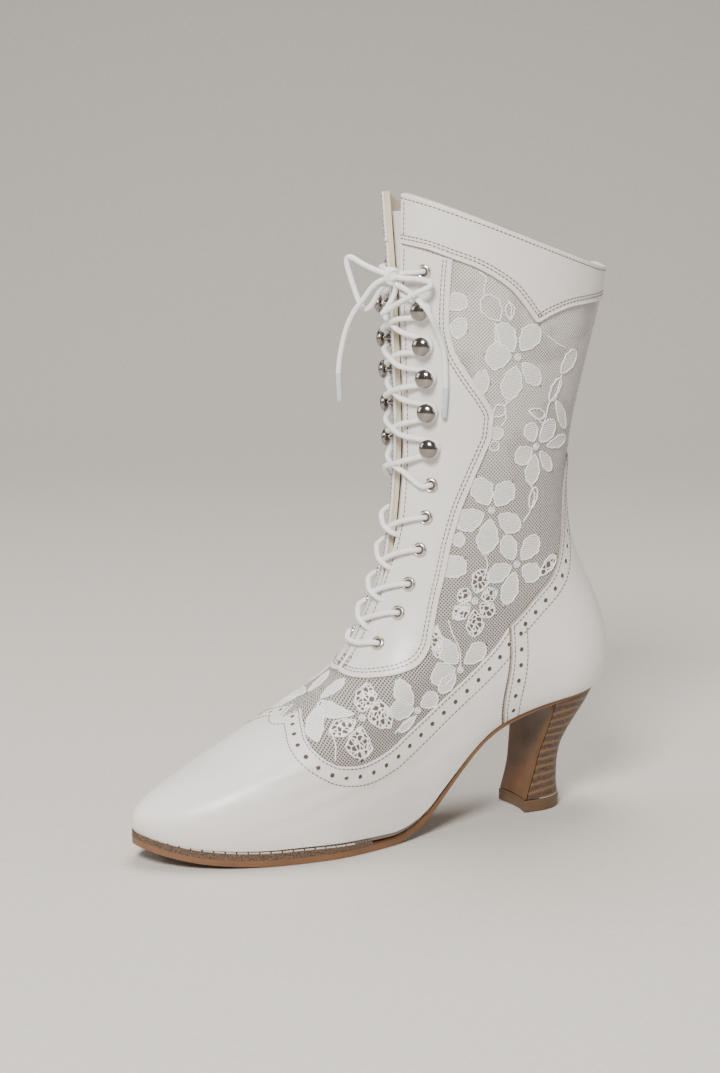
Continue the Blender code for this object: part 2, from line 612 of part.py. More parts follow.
def smooth_route(points, spacing):
    """Evenly spaced points on a smooth curve through the given ones."""
    points = [Vector(p) for p in points]
    if len(points) == 2:
        return points
    ends = [points[0] * 2 - points[1]] + points + [points[-1] * 2 - points[-2]]
    dense = []
    for a, b, c, d in zip(ends, ends[1:], ends[2:], ends[3:]):
        for k in range(12):
            t = k / 12
            dense.append(0.5 * (2 * b + (c - a) * t + (2 * a - 5 * b + 4 * c - d) * t * t
                                + (3 * b - a - 3 * c + d) * t ** 3))
    dense.append(points[-1])
    lengths = np.concatenate([[0], np.cumsum([(q - p).length for p, q in zip(dense, dense[1:])])])
    count = max(2, round(lengths[-1] / spacing))
    marks = np.linspace(0, lengths[-1], count + 1)
    grid = np.array([tuple(p) for p in dense])
    return [Vector([np.interp(m, lengths, grid[:, k]) for k in range(3)]) for m in marks]


def cord_curve(name, points, diameter, spacing, resolution=2):
    curve = bpy.data.curves.new(name, "CURVE")
    curve.dimensions = "3D"
    curve.bevel_depth = diameter / 2 * MM
    curve.bevel_resolution = resolution
    curve.use_fill_caps = True
    route = smooth_route(points, spacing) if spacing else points
    spline = curve.splines.new("POLY")
    spline.points.add(len(route) - 1)
    for target, point in zip(spline.points, route):
        target.co = (*(point * MM), 1)
    return bpy.data.objects.new(name, curve)


def lace_point(share, level, extra=0.0):
    return Vector(skin(share, level, LACE_LIFT + extra))


def beside(side, share, level, angle):
    """A point of the lace round a hook's stem; angle 0 is its far side from the throat."""
    foot = Vector(skin(side * share, level, LACE_LIFT))
    normal = Vector(outward(side * share, level))
    above = Vector(last(side * share, level + 0.01)) - Vector(last(side * share, level - 0.01))
    above = (above - normal * above.dot(normal)).normalized()
    away = above.cross(normal) * -side
    turn = math.radians(angle)
    return foot + (away * math.cos(turn) + above * math.sin(turn)) * HOOK_WRAP


def tube(name, route, sides=1):
    """A closed round tube with a corner at each point of the route."""
    curve = cord_curve(name, route, LACE, None, sides)
    mesh = bpy.data.meshes.new_from_object(curve)
    bpy.data.objects.remove(curve)
    bm = bmesh.new()
    bm.from_mesh(mesh)
    bmesh.ops.remove_doubles(bm, verts=bm.verts[:], dist=1e-6)
    bm.to_mesh(mesh)
    bm.free()
    obj = bpy.data.objects.new(name, mesh)
    bpy.context.collection.objects.link(obj)
    return obj


def join_tubes(name, routes, mat):
    """Round tubes along the routes, joined into one solid."""
    made = [tube(name if number == 0 else f"{name}_{number}", route) for number, route in enumerate(routes)]
    made[0].data.materials.clear()
    made[0].data.materials.append(mat)
    for extra in made[1:]:
        extra.hide_render = True
        extra.display_type = "WIRE"
        union = made[0].modifiers.new("join", "BOOLEAN")
        union.operation = "UNION"
        union.object = extra


def make_lacing(mat):
    low, level = EYELET_ROWS[0]
    bar = [lace_point(low * k, level, 0.4) for k in (-0.5, -0.25, 0, 0.25, 0.5)]
    join_tubes("lace_bar_1", [bar], mat)
    for number in range(1, 5):
        share, level = EYELET_ROWS[number]
        drop = 0.33 * (level - EYELET_ROWS[number - 1][1])
        bend = [(-0.62, 0), (-0.3, 0.55), (0, 1), (0.3, 0.55), (0.62, 0)]
        route = [lace_point(share * k, level - drop * down, CROSS_LIFT) for k, down in bend]
        join_tubes(f"lace_cross_{number + 1}", [route], mat)
    strands = []
    for start, over in ((-1, 0.8), (1, 1.9)):
        side = start
        share, level = EYELET_ROWS[5]
        route = [lace_point(side * share * 0.62, level + 0.05, 0.3)]
        for share, hook in HOOK_ROWS:
            middle = (level + hook) / 2
            route += [lace_point(side * share * 0.42, middle - 0.1, over)]
            route += [lace_point(start * CROSS_SHIFT, middle + 2 * start * CROSS_SHIFT, over)]
            side = -side
            route += [lace_point(side * share * 0.42, middle + 0.1, over)]
            route += [beside(side, share, hook, angle) for angle in (-105, -35, 35, 105)]
            level = hook
        route += [lace_point(side * share * 0.62, level + 0.18, 0.5)]
        strands.append(route)
    join_tubes("lace_hook_run", strands, mat)
    for strand in TOP_STRANDS:
        join_tubes(strand.name, [[Vector(point) for point in strand.points]], mat)


def make_bow(mat, tip_mat):
    for cord in BOW:
        obj = cord_curve(cord.name, cord.points, LACE, 5.6)
        obj.data.materials.append(mat)
        bpy.context.collection.objects.link(obj)
    for tip in AGLETS:
        obj = cord_curve(tip.name, tip.points, LACE * 1.05, 14)
        obj.data.materials.append(tip_mat)
        bpy.context.collection.objects.link(obj)
    bm = bmesh.new()
    bmesh.ops.create_uvsphere(bm, u_segments=12, v_segments=8, radius=1)
    bmesh.ops.scale(bm, vec=Vector(KNOT_SIZE), verts=bm.verts[:])
    bmesh.ops.translate(bm, vec=Vector(KNOT_CENTRE), verts=bm.verts[:])
    finish(bm, "bow_knot", mat)


def main():
    for obj in list(bpy.data.objects):
        bpy.data.objects.remove(obj)
    white = material("white_leather", (0.76, 0.74, 0.71), 0.42)
    panel = material("upper_lining_and_lace", (0.66, 0.61, 0.56), 0.8)
    textile = material("cream_textile", (0.62, 0.56, 0.48), 0.9)
    tan = material("tan_leather", (0.33, 0.17, 0.10), 0.5)
    brown = material("brown_rand", (0.16, 0.09, 0.06), 0.8)
    stack = material("stacked_leather", (0.13, 0.07, 0.045), 0.6)
    polish = material("polished_brown", (0.15, 0.06, 0.03), 0.25)
    rubber = material("brown_rubber", (0.10, 0.06, 0.045), 0.7)
    silver = material("silver_metal", (0.62, 0.60, 0.57), 0.25, 1.0)
    dark_metal = material("dark_nickel", (0.30, 0.28, 0.26), 0.2, 1.0)
    lace = material("white_lace_cord", (0.85, 0.85, 0.84), 0.85)
    plastic = material("pale_plastic", (0.55, 0.60, 0.60), 0.3)
    make_upper(panel)
    make_vamp(white)
    make_counter(white)
    make_cuff(white)
    make_facing("facing_lateral", -1, white)
    make_facing("facing_medial", 1, white)
    make_tongue(textile)
    make_insole(textile)
    make_outsole(tan)
    make_welt(brown)
    make_heel(stack)
    make_breast(polish)
    make_top_piece(rubber)
    make_hardware(silver, dark_metal)
    make_lacing(lace)
    make_bow(lace, plastic)


if __name__ == "__main__":
    main()
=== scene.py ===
import math
from collections import namedtuple

import bmesh
import bpy
import numpy as np
from bpy.props import FloatProperty, FloatVectorProperty, PointerProperty
from mathutils import Matrix, Vector


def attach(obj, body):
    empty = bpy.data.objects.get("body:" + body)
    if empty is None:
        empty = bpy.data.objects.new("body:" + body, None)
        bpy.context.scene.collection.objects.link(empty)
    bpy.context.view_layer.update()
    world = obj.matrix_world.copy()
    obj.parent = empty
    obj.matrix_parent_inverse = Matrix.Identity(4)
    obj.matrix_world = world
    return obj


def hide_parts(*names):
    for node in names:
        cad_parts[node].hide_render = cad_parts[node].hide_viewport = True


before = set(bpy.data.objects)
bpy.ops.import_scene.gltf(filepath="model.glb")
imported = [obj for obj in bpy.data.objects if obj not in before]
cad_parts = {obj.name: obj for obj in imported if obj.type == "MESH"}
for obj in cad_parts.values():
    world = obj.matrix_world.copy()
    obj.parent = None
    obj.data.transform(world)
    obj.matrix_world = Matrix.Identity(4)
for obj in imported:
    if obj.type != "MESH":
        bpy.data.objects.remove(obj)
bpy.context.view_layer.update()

bl_info = {
    "name": "Victorian lace-up boot",
    "version": (1, 0, 0),
    "blender": (4, 5, 0),
    "location": "3D View > Sidebar > Boot",
    "description": "Builds the visible boot around its solids, one group of pieces at a time",
    "category": "Add Mesh",
}

MM = 0.001
SIDES = (("lateral", -1), ("medial", 1))

# Half a step for slopes, in shares of the way round and in levels
PROBE = 0.002

# Lifts above the last's surface, the lace's diameter and the collar's dip, in millimetres
WALL = 1.8
LACE_TOP = 0.85
LEATHER_LOW = 0.8
LEATHER_TOP = 1.8
RAISED_TOP = LEATHER_TOP + 0.25
RING_FOOT = 2.1
LACE = 2.7
LACE_LIFT = RING_FOOT + 0.2 + LACE / 2
TOP_DIP = 6.0

# Levels where the throat opens and the leather starts, and a seam's bulge as a share of the way round
THROAT_START = 7.05
FLOOR_LEVEL = 0.12
SIDE_BULGE = 0.014

# The strip down the back and the tongue: shares, levels, and millimetres for gap and thickness
STRIP_HALF = 0.108
STRIP_LEVELS = (11.30, 15.16)
STRIP_SEAMS = (0.905, 0.93)
STRIP_SEAM_LEVELS = (11.45, 15.02)
TONGUE_HALF = 0.2
TONGUE_LEVELS = (6.2, 15.7)
TONGUE_GAP = 0.9
TONGUE_THICK = 1.4

# Sole and heel, in millimetres; the welt's ends are shares of the way round
OUTSOLE_THICK = 3.0
INSOLE_THICK = 2.0
INSOLE_GAP = 1.2
SOLE_GAP = 0.5
CLOSE_GAP = 0.1
WELT_INSIDE = 6.0
WELT_REACH = 3.0
WELT_END = 0.455
WELT_SEAM_REACH = 1.9
WELT_SEAM_END = 0.43
WELT_STITCH_STEP = 5.6
WELT_STITCH_LENGTH = 4.7
WELT_THREAD = 1.05
ARCH_SKEW = 0.30
HEEL_PIECE = 6.0
HEEL_GAP = 0.3
BREAST_HOLLOW = 1.5
BREAST_THICK = 1.2

# Radii and heights of eyelets and hooks, in millimetres
EYELET_OUTER = 3.65
EYELET_HOLE = 2.1
HOOK_RADIUS = 4.7
HOOK_STEM = 1.5
HOOK_CLEAR = 3.9
HOOK_WRAP = 3.6

# Diameters of threads and cords, and the punched holes, in millimetres
LACE_SPACING = 0.9
SEAM_THREAD = 0.56
PIPING = 1.35
FOLD = 0.95
PETAL_CORD = 0.8
STEM_CORD = 0.7
HOLE_AWAY = 5.2
HOLE_RADIUS = 1.24

# Patterns of the finishes, in metres
CHART_X = 0.060
SATIN_PITCH = 0.0010
BRAID_PITCH = 0.00085
CLOTH_PITCH = 0.0009
HEEL_LAYER = 0.0043
LEATHER_GRAIN = 0.00003

# The photograph's view and the stage, in metres
PHOTO_AIM = (-0.00808, -0.00295, 0.150)
PHOTO_BACK = (-0.4303, -0.8823, 0.1908)
PHOTO_DISTANCE = 1.23725
SENSOR = 36
Lamp = namedtuple("Lamp", "place size power")
LAMPS = (
    Lamp((-1.0, -1.2, 1.4), 0.55, 66.0),
    Lamp((1.4, -0.9, 0.8), 0.9, 7.0),
    Lamp((0.2, 0.4, 1.7), 0.8, 26.0),
    Lamp((-1.4, 0.7, 0.7), 0.8, 8.0),
)
LAMP_AIM = (0, 0, 0.13)
LAMP_COLOUR = (1.0, 0.975, 0.94)
WORLD_COLOUR = (0.93, 0.92, 0.90)
WORLD_STRENGTH = 0.22

# The floor, in millimetres: half its side, how far it is flat, how gently it bends up, its drop and turn
FLOOR_HALF = 4000
FLOOR_FLAT = 1100
FLOOR_BEND = 1600
FLOOR_DROP = 0.3
FLOOR_TURN = -0.454

# Rings of the last, from the feather line up to the collar
Ring = namedtuple(
    "Ring", "front_x front_z back_x back_z ball_out ball_in waist_out waist_in heel nose back")
RINGS = (
    Ring(-125.0, 16.0, 124.5, 66.0, 36.5, 33.5, 26.0, 21.0, 25.5, 90, 30),
    Ring(-126.3, 22.0, 127.3, 71.0, 38.2, 35.5, 28.0, 24.0, 27.5, 90, 31),
    Ring(-119.5, 30.0, 129.0, 77.5, 38.5, 36.0, 29.5, 27.0, 28.8, 84, 32),
    Ring(-104.0, 38.5, 129.3, 85.0, 38.0, 36.0, 30.5, 29.5, 29.6, 74, 33),
    Ring(-82.0, 47.5, 128.2, 93.0, 36.8, 35.5, 31.0, 30.5, 30.0, 66, 34),
    Ring(-58.5, 57.5, 125.6, 102.0, 35.3, 34.6, 31.2, 31.0, 29.8, 60, 34),
    Ring(-37.0, 68.0, 121.6, 112.0, 33.8, 33.6, 31.0, 31.0, 29.2, 55, 34),
    Ring(-19.0, 81.0, 116.8, 122.0, 32.2, 32.2, 30.5, 30.5, 28.6, 52, 35),
    Ring(-6.0, 98.0, 111.4, 133.5, 30.6, 30.6, 29.6, 29.6, 28.2, 50, 36),
    Ring(3.0, 116.0, 107.2, 146.0, 29.2, 29.2, 29.0, 29.0, 28.2, 48, 38),
    Ring(10.0, 137.0, 105.0, 160.0, 28.4, 28.4, 28.6, 28.6, 28.6, 47, 41),
    Ring(14.0, 162.0, 105.0, 178.0, 28.6, 28.6, 29.0, 29.0, 29.2, 47, 44),
    Ring(15.8, 190.0, 107.6, 200.0, 30.0, 30.0, 30.6, 30.6, 30.6, 48, 47),
    Ring(15.6, 220.0, 112.4, 222.0, 32.2, 32.2, 33.0, 33.0, 33.0, 50, 50),
    Ring(14.4, 252.0, 117.6, 243.0, 34.6, 34.6, 35.4, 35.4, 35.4, 52, 52),
    Ring(12.6, 284.0, 122.0, 262.0, 36.6, 36.6, 37.4, 37.4, 37.4, 54, 54),
    Ring(10.4, 317.5, 124.0, 279.5, 38.0, 38.0, 39.0, 39.0, 39.0, 56, 56),
)
TOP = len(RINGS) - 1
BALL_X = -42.0
WAIST_X = 22.0
HEEL_X = 98.0

# The sole seen from the side, in millimetres: x, then height, thickness or reach past the feather line
SOLE_LINE = (
    (-129, 9.5), (-118, 6.0), (-104, 2.8), (-88, 0.6), (-78, 0.0), (-14, 0.0),
    (-6, 1.2), (2, 4.2), (10, 9.6), (19, 18.6), (29, 28.2), (40, 38.0),
    (52, 46.6), (66, 53.0), (82, 57.6), (100, 61.0), (126, 65.0),
)
SOLE_THICK = ((-129, 6.3), (-60, 6.3), (-30, 5.4), (-5, 4.4), (20, 3.9), (60, 3.2), (126, 2.0))
SOLE_REACH = ((-130, 3.0), (-20, 3.0), (30, 1.2), (126, 0.6))

# Half of the throat's gap: level, millimetres
THROAT = (
    (7.05, 0.6), (9.2, 1.0), (9.8, 1.8), (10.4, 4.2), (11.0, 5.0), (12.5, 4.8),
    (14.5, 5.3), (15.3, 7.2), (16.0, 9.2),
)

# The cuff's lower edge: share, level
CUFF_EDGE = (
    (0.06, 15.30), (0.09, 15.30), (0.125, 15.30), (0.163, 15.30), (0.21, 15.28), (0.255, 15.25),
    (0.32, 15.21), (0.378, 15.12), (0.438, 14.95), (0.482, 14.71), (0.519, 14.465), (0.53, 14.40),
    (0.541, 14.445), (0.57, 14.58), (0.64, 14.83), (0.72, 14.98), (0.79, 15.06), (0.86, 15.10),
    (0.93, 15.12), (1.0, 15.12),
)

# The facing: front level, back share, back level
FACING = (
    (7.10, 0.270, 6.78), (7.30, 0.303, 6.82), (7.52, 0.319, 6.98), (7.80, 0.323, 7.35),
    (8.40, 0.308, 8.20), (9.10, 0.300, 9.05), (9.80, 0.302, 9.95), (10.40, 0.320, 10.75),
    (11.05, 0.360, 11.45), (11.60, 0.390, 11.90), (12.05, 0.409, 12.25), (12.45, 0.409, 12.60),
    (12.85, 0.380, 12.90), (13.30, 0.310, 13.38), (13.75, 0.260, 13.78), (14.25, 0.243, 14.20),
    (14.80, 0.246, 14.75), (15.26, 0.254, 15.21),
)

# Vamp and counter: low share, top share, top level
VAMP = (
    (0.0, 0.0, 5.45), (0.03, 0.018, 5.64), (0.065, 0.035, 5.80), (0.105, 0.085, 5.56),
    (0.155, 0.138, 5.21), (0.205, 0.195, 4.72), (0.25, 0.247, 4.23), (0.29, 0.29, 3.79),
    (0.33, 0.328, 3.40), (0.37, 0.362, 3.07), (0.415, 0.407, 2.84), (0.455, 0.438, 3.02),
    (0.495, 0.461, 3.60), (0.535, 0.482, 4.25), (0.575, 0.502, 4.95), (0.615, 0.528, 5.83),
    (0.656, 0.556, 6.85),
)
COUNTER = (
    (0.66, 0.560, 6.88), (0.71, 0.625, 7.53), (0.765, 0.703, 8.15), (0.825, 0.760, 8.98),
    (0.885, 0.808, 10.00), (0.93, 0.845, 10.95), (0.955, 0.89, 11.28), (0.978, 0.945, 11.33),
    (1.0, 1.0, 11.35),
)

# The heel, from its foot up to the sole, in millimetres
HeelRow = namedtuple("HeelRow", "height front back half")
HEEL = (
    HeelRow(6.3, 82.2, 106.0, 13.2), HeelRow(14, 84.2, 104.9, 13.2), HeelRow(24, 86.6, 104.7, 13.9),
    HeelRow(34, 88.2, 105.8, 15.3), HeelRow(42, 89.8, 109.2, 17.3), HeelRow(50, 91.0, 114.5, 19.9),
    HeelRow(57, 91.6, 119.6, 22.3), HeelRow(64, 91.8, 124.0, 24.3),
)

# Places of eyelets and hooks: share, level
EYELET_ROWS = ((0.130, 7.88), (0.163, 8.70), (0.170, 9.43), (0.185, 10.20), (0.193, 10.85), (0.203, 11.45))
HOOK_ROWS = ((0.193, 12.12), (0.180, 12.73), (0.172, 13.28), (0.160, 13.78), (0.155, 14.33))
TOP_EYELET = (0.160, 14.93)
EYELETS = EYELET_ROWS + (TOP_EYELET,)

# Routes of the bow, its tips and the strands under it
Cord = namedtuple("Cord", "name points")
BOW = (
    Cord("bow_loop_medial", (
        (6.5, -1.2, 277.8), (5.0, 2.4, 278.7), (1.4, 11.5, 281.3), (-1.2, 17.8, 284.1),
        (-2.3, 20.6, 285.1), (-3.1, 22.4, 284.3), (-3.1, 22.6, 282.1), (-2.0, 19.9, 274.5),
        (-0.3, 15.6, 264.7), (0.6, 13.3, 261.0), (1.6, 10.8, 259.6), (2.6, 8.4, 260.6),
        (3.6, 5.9, 263.7), (5.0, 2.4, 269.5), (6.2, 0.2, 271.9),
    )),
    Cord("bow_loop_lateral", (
        (8.2, -9.4, 276.9), (9.9, -14.6, 276.6), (12.5, -18.8, 276.8), (15.0, -22.2, 276.3),
        (17.0, -24.8, 276.1), (18.3, -27.2, 275.2), (17.2, -28.1, 273.6), (15.2, -27.5, 272.5),
        (12.3, -26.1, 271.2), (9.2, -23.1, 268.9), (7.6, -18.5, 266.5), (6.1, -11.6, 263.4),
        (4.3, -8.4, 261.4), (2.6, -7.0, 260.0), (1.9, -5.9, 258.9), (3.2, -4.8, 259.0),
        (6.1, -4.3, 262.2), (8.8, -4.8, 266.7), (9.8, -5.8, 270.4), (9.4, -6.4, 272.4),
    )),
    Cord("bow_end_medial", (
        (4.9, -3.1, 275.5), (1.6, 1.4, 272.4), (-1.2, 5.8, 266.3), (-5.0, 11.2, 258.0), (-7.0, 13.8, 251.2),
        (-8.2, 15.4, 244.8), (-9.4, 16.9, 235.8), (-9.9, 17.4, 228.3),
    )),
    Cord("bow_end_lateral", (
        (8.0, -9.6, 273.4), (9.3, -13.2, 272.3), (11.1, -16.3, 270.6), (12.5, -19.8, 268.6),
        (12.9, -24.4, 266.4), (13.9, -28.4, 264.0), (15.8, -29.8, 260.3), (18.7, -29.2, 255.8),
        (21.8, -27.6, 250.6), (24.7, -26.7, 244.1), (26.1, -26.4, 236.4), (26.8, -26.0, 224.3),
    )),
)
AGLETS = (
    Cord("aglet_medial", ((-9.9, 17.4, 227.9), (-9.4, 16.7, 214.1))),
    Cord("aglet_lateral", ((26.8, -26.0, 223.9), (26.5, -24.8, 209.0))),
)
TOP_STRANDS = (
    Cord("lace_top_lateral", (
        (13.6, -17.2, 279.6), (12.2, -14.8, 279.3), (11.1, -12.0, 278.9), (10.5, -9.8, 278.5),
    )),
    Cord("lace_top_medial", (
        (13.6, 17.2, 279.6), (11.1, 12.2, 279.8), (9.8, 6.4, 279.5), (10.0, 0.6, 278.9),
    )),
)
KNOT_CENTRE = (8.1, -5.2, 276.8)
KNOT_SIZE = (3.0, 3.8, 3.3)

# Lace petals, each s satin, c open cells or o outline only; places are shares and levels
Petal = namedtuple("Petal", "root root_level tip tip_level width kind")
PETALS = (
    (0.278, 5.30, 0.190, 6.70, 9.6, "c"), (0.312, 4.93, 0.365, 4.90, 12.4, "c"),
    (0.312, 4.75, 0.395, 3.05, 11.8, "c"), (0.283, 5.05, 0.247, 4.70, 7.9, "c"),
    (0.268, 5.30, 0.062, 6.15, 8.4, "s"), (0.250, 4.38, 0.083, 6.08, 8.4, "s"),
    (0.430, 4.53, 0.350, 5.08, 9.0, "s"), (0.420, 4.70, 0.280, 6.58, 8.4, "s"),
    (0.438, 4.55, 0.463, 4.78, 7.9, "s"), (0.448, 4.17, 0.435, 3.68, 3.9, "s"),
    (0.055, 6.20, 0.075, 6.93, 6.8, "s"), (0.455, 5.93, 0.400, 5.83, 10.1, "s"),
    (0.453, 6.08, 0.350, 7.60, 9.0, "s"), (0.470, 5.93, 0.505, 6.53, 8.4, "s"),
    (0.468, 5.58, 0.460, 4.85, 6.8, "s"), (0.372, 6.80, 0.318, 8.08, 5.1, "c"),
    (0.427, 8.62, 0.445, 9.33, 8.4, "c"), (0.417, 8.47, 0.365, 8.93, 6.8, "c"),
    (0.417, 8.38, 0.370, 8.08, 6.8, "c"), (0.435, 8.15, 0.460, 7.08, 8.4, "c"),
    (0.448, 8.25, 0.505, 7.60, 7.3, "c"), (0.448, 8.40, 0.503, 8.40, 6.2, "c"),
    (0.547, 9.05, 0.458, 8.95, 8.4, "s"), (0.550, 9.18, 0.503, 10.08, 8.4, "s"),
    (0.575, 9.08, 0.642, 9.68, 9.0, "s"), (0.580, 8.88, 0.647, 8.20, 9.0, "s"),
    (0.560, 8.85, 0.532, 7.75, 8.4, "s"), (0.640, 8.25, 0.725, 8.70, 5.6, "c"),
    (0.432, 10.85, 0.375, 11.50, 10.1, "s"), (0.455, 10.80, 0.512, 11.25, 10.1, "s"),
    (0.422, 10.73, 0.315, 10.58, 10.1, "s"), (0.468, 10.62, 0.565, 10.05, 9.0, "s"),
    (0.443, 10.60, 0.438, 9.70, 10.1, "s"), (0.302, 9.45, 0.367, 9.78, 10.1, "s"),
    (0.305, 10.30, 0.360, 10.23, 6.2, "s"), (0.598, 10.45, 0.618, 11.00, 4.5, "o"),
    (0.583, 11.95, 0.547, 12.40, 7.5, "s"), (0.610, 11.90, 0.675, 12.33, 9.4, "s"),
    (0.583, 11.83, 0.512, 11.65, 8.9, "s"), (0.595, 11.73, 0.593, 11.03, 8.0, "s"),
    (0.615, 11.75, 0.700, 11.18, 5.6, "s"), (0.642, 11.80, 0.797, 11.80, 5.6, "s"),
    (0.460, 13.75, 0.400, 14.30, 9.4, "s"), (0.478, 13.78, 0.532, 14.33, 10.3, "s"),
    (0.455, 13.68, 0.365, 13.70, 12.2, "s"), (0.470, 13.55, 0.458, 12.85, 9.8, "s"),
    (0.487, 13.60, 0.570, 13.12, 7.5, "s"), (0.408, 14.30, 0.350, 14.75, 8.9, "o"),
    (0.438, 14.35, 0.430, 14.70, 4.2, "o"), (0.247, 14.38, 0.297, 14.68, 8.4, "s"),
    (0.247, 14.15, 0.307, 14.08, 9.4, "s"), (0.328, 13.23, 0.390, 13.20, 11.3, "s"),
    (0.650, 13.30, 0.723, 13.83, 8.4, "s"), (0.620, 12.73, 0.662, 13.25, 5.6, "o"),
    (0.652, 12.78, 0.770, 12.00, 5.6, "s"), (0.535, 12.65, 0.618, 12.45, 4.7, "o"),
    (0.410, 12.60, 0.450, 12.78, 5.6, "o"), (0.415, 12.40, 0.448, 12.15, 5.6, "s"),
    (0.410, 11.98, 0.443, 12.08, 4.7, "o"),
)

# Hearts of the flowers and stems between them: share, level
FLOWER_HEARTS = (
    (0.292, 5.08), (0.430, 8.40), (0.473, 5.68), (0.562, 9.03), (0.443, 10.75), (0.595, 11.85),
    (0.473, 13.68), (0.440, 4.40),
)
STEMS = (
    ((0.352, 14.75), (0.355, 14.93), (0.360, 15.03), (0.338, 15.12)),
    ((0.438, 14.35), (0.438, 14.58), (0.425, 14.73)),
    ((0.568, 14.12), (0.608, 13.98), (0.652, 13.88)),
    ((0.390, 14.28), (0.400, 14.12), (0.415, 13.88)),
    ((0.458, 12.85), (0.448, 12.78), (0.458, 12.55), (0.445, 12.40)),
    ((0.660, 13.30), (0.652, 12.78), (0.625, 12.73), (0.615, 12.30), (0.542, 12.62)),
    ((0.438, 9.70), (0.453, 9.38), (0.448, 9.00)),
    ((0.595, 11.05), (0.615, 10.75), (0.598, 10.45), (0.573, 10.23)),
    ((0.473, 5.68), (0.430, 6.80), (0.378, 7.68), (0.357, 8.08)),
    ((0.427, 3.73), (0.430, 3.93), (0.448, 4.17)),
    ((0.338, 3.40), (0.302, 4.08), (0.238, 4.90)),
    ((0.370, 7.12), (0.335, 7.83), (0.325, 8.05)),
)

# Soft creases of the leather over the ball: share, level, half length, half width, depth
CREASES = (
    (0.36, 2.2, 0.060, 0.35, 0.50), (0.40, 1.6, 0.055, 0.30, 0.45), (0.30, 2.9, 0.050, 0.30, 0.35),
    (0.50, 2.1, 0.050, 0.40, 0.30), (0.33, 1.1, 0.045, 0.25, 0.30),
)


# The last, as the solids have it

def natural_bends(values):
    """How a natural spline through rows of values bends at each row."""
    count = len(values)
    matrix = np.eye(count)
    right = np.zeros_like(values)
    for i in range(1, count - 1):
        matrix[i, i - 1:i + 2] = (1, 4, 1)
        right[i] = 6 * (values[i - 1] - 2 * values[i] + values[i + 1])
    return np.linalg.solve(matrix, right)


RING_VALUES = np.array(RINGS, float)
RING_BENDS = natural_bends(RING_VALUES)


def ring_at(level):
    """The ring at any level, between the given ones."""
    level = np.clip(np.asarray(level, float), 0, TOP)
    i = np.minimum(level.astype(int), TOP - 1)
    t = (level - i)[..., None]
    bend = ((1 - t) ** 3 - (1 - t)) * RING_BENDS[i] / 6 + (t ** 3 - t) * RING_BENDS[i + 1] / 6
    row = RING_VALUES[i] * (1 - t) + RING_VALUES[i + 1] * t + bend
    return Ring(*(row[..., k] for k in range(len(Ring._fields))))


def along(table, x):
    """Smooth line through a two-column table, with no overshoot."""
    rows = np.array(table, float)
    xs, ys = rows[:, 0], rows[:, 1]
    steps = np.diff(xs)
    rates = np.diff(ys) / steps
    slopes = np.zeros(len(xs))
    slopes[0], slopes[-1] = rates[0], rates[-1]
    product = rates[:-1] * rates[1:]
    slopes[1:-1] = np.where(product > 0, 2 * product / (rates[:-1] + rates[1:] + 1e-12), 0)
    x = np.clip(x, xs[0], xs[-1])
    i = np.clip(np.searchsorted(xs, x) - 1, 0, len(xs) - 2)
    t = (x - xs[i]) / steps[i]
    rise = ys[i] * (1 + 2 * t) * (1 - t) ** 2 + ys[i + 1] * t * t * (3 - 2 * t)
    return rise + steps[i] * t * (1 - t) * (slopes[i] * (1 - t) - slopes[i + 1] * t)


def column_of(table, number, t):
    """One column of a table read smoothly at row number t."""
    return along([(i, row[number]) for i, row in enumerate(table)], t)


def ease(t):
    """From 0 to 1 with a soft start and end."""
    t = np.clip(t, 0, 1)
    return t * t * (3 - 2 * t)


def ground(x, y):
    """Height of the sole's underside; the arch runs aslant across it."""
    weight = ease((64 - x) / 50) * ease((x + 110) / 50)
    return along(SOLE_LINE, x + ARCH_SKEW * y * weight)


def seat(x, y):
    """Height of the sole's top, where the upper starts."""
    return ground(x, y) + along(SOLE_THICK, x)


def round_end(share, power):
    """How wide a rounded end is at a share of its length."""
    return (1 - (1 - np.clip(share, 0, 1)) ** 2) ** (1 / power)


def last(around, level):
    """A point of the upper's outside. around runs from 0 at the front to 1 or -1 at the
    back, negative on the lateral side; level runs from the feather line to the collar."""
    around, level = np.broadcast_arrays(np.asarray(around, float), np.asarray(level, float))
    around = (around + 1) % 2 - 1
    ring = ring_at(level)
    share = (1 - np.cos(np.pi * around)) / 2
    x = ring.front_x + (ring.back_x - ring.front_x) * share
    z = ring.front_z + (ring.back_z - ring.front_z) * share
    length = np.hypot(ring.back_x - ring.front_x, ring.back_z - ring.front_z)
    medial = around > 0
    ball = np.where(medial, ring.ball_in, ring.ball_out)
    waist = np.where(medial, ring.waist_in, ring.waist_out)
    half = ball + (waist - ball) * ease((x - BALL_X) / (WAIST_X - BALL_X))
    half = half + (ring.heel - waist) * ease((x - WAIST_X) / (HEEL_X - WAIST_X))
    half = half * round_end(share * length / ring.nose, 2 - 0.28 * np.clip(1 - level / 4, 0, 1))
    half = half * round_end((1 - share) * length / ring.back, 2)
    y = np.where(medial, half, -half)
    rim = np.clip((level - 11) / 5, 0, 1) ** 2
    z = z - TOP_DIP * rim * np.sin(np.pi * np.abs(around)) * np.clip(np.abs(around) * 1.3, 0, 1)
    first = RINGS[0]
    slope = (first.back_z - first.front_z) / (first.back_x - first.front_x)
    chord = first.front_z + slope * (x - first.front_x)
    z = z + np.clip(1 - level / 6, 0, 1) ** 2 * (seat(x, y) - chord)
    return np.stack([x, y, z], -1)


def slopes_at(around, level):
    """How the surface runs per share of the way round, and per level."""
    low = np.clip(np.asarray(level) - PROBE, 0, TOP)
    high = np.clip(np.asarray(level) + PROBE, 0, TOP)
    sideways = (last(around + PROBE, level) - last(around - PROBE, level)) / (2 * PROBE)
    upward = (last(around, high) - last(around, low)) / (high - low)[..., None]
    return sideways, upward


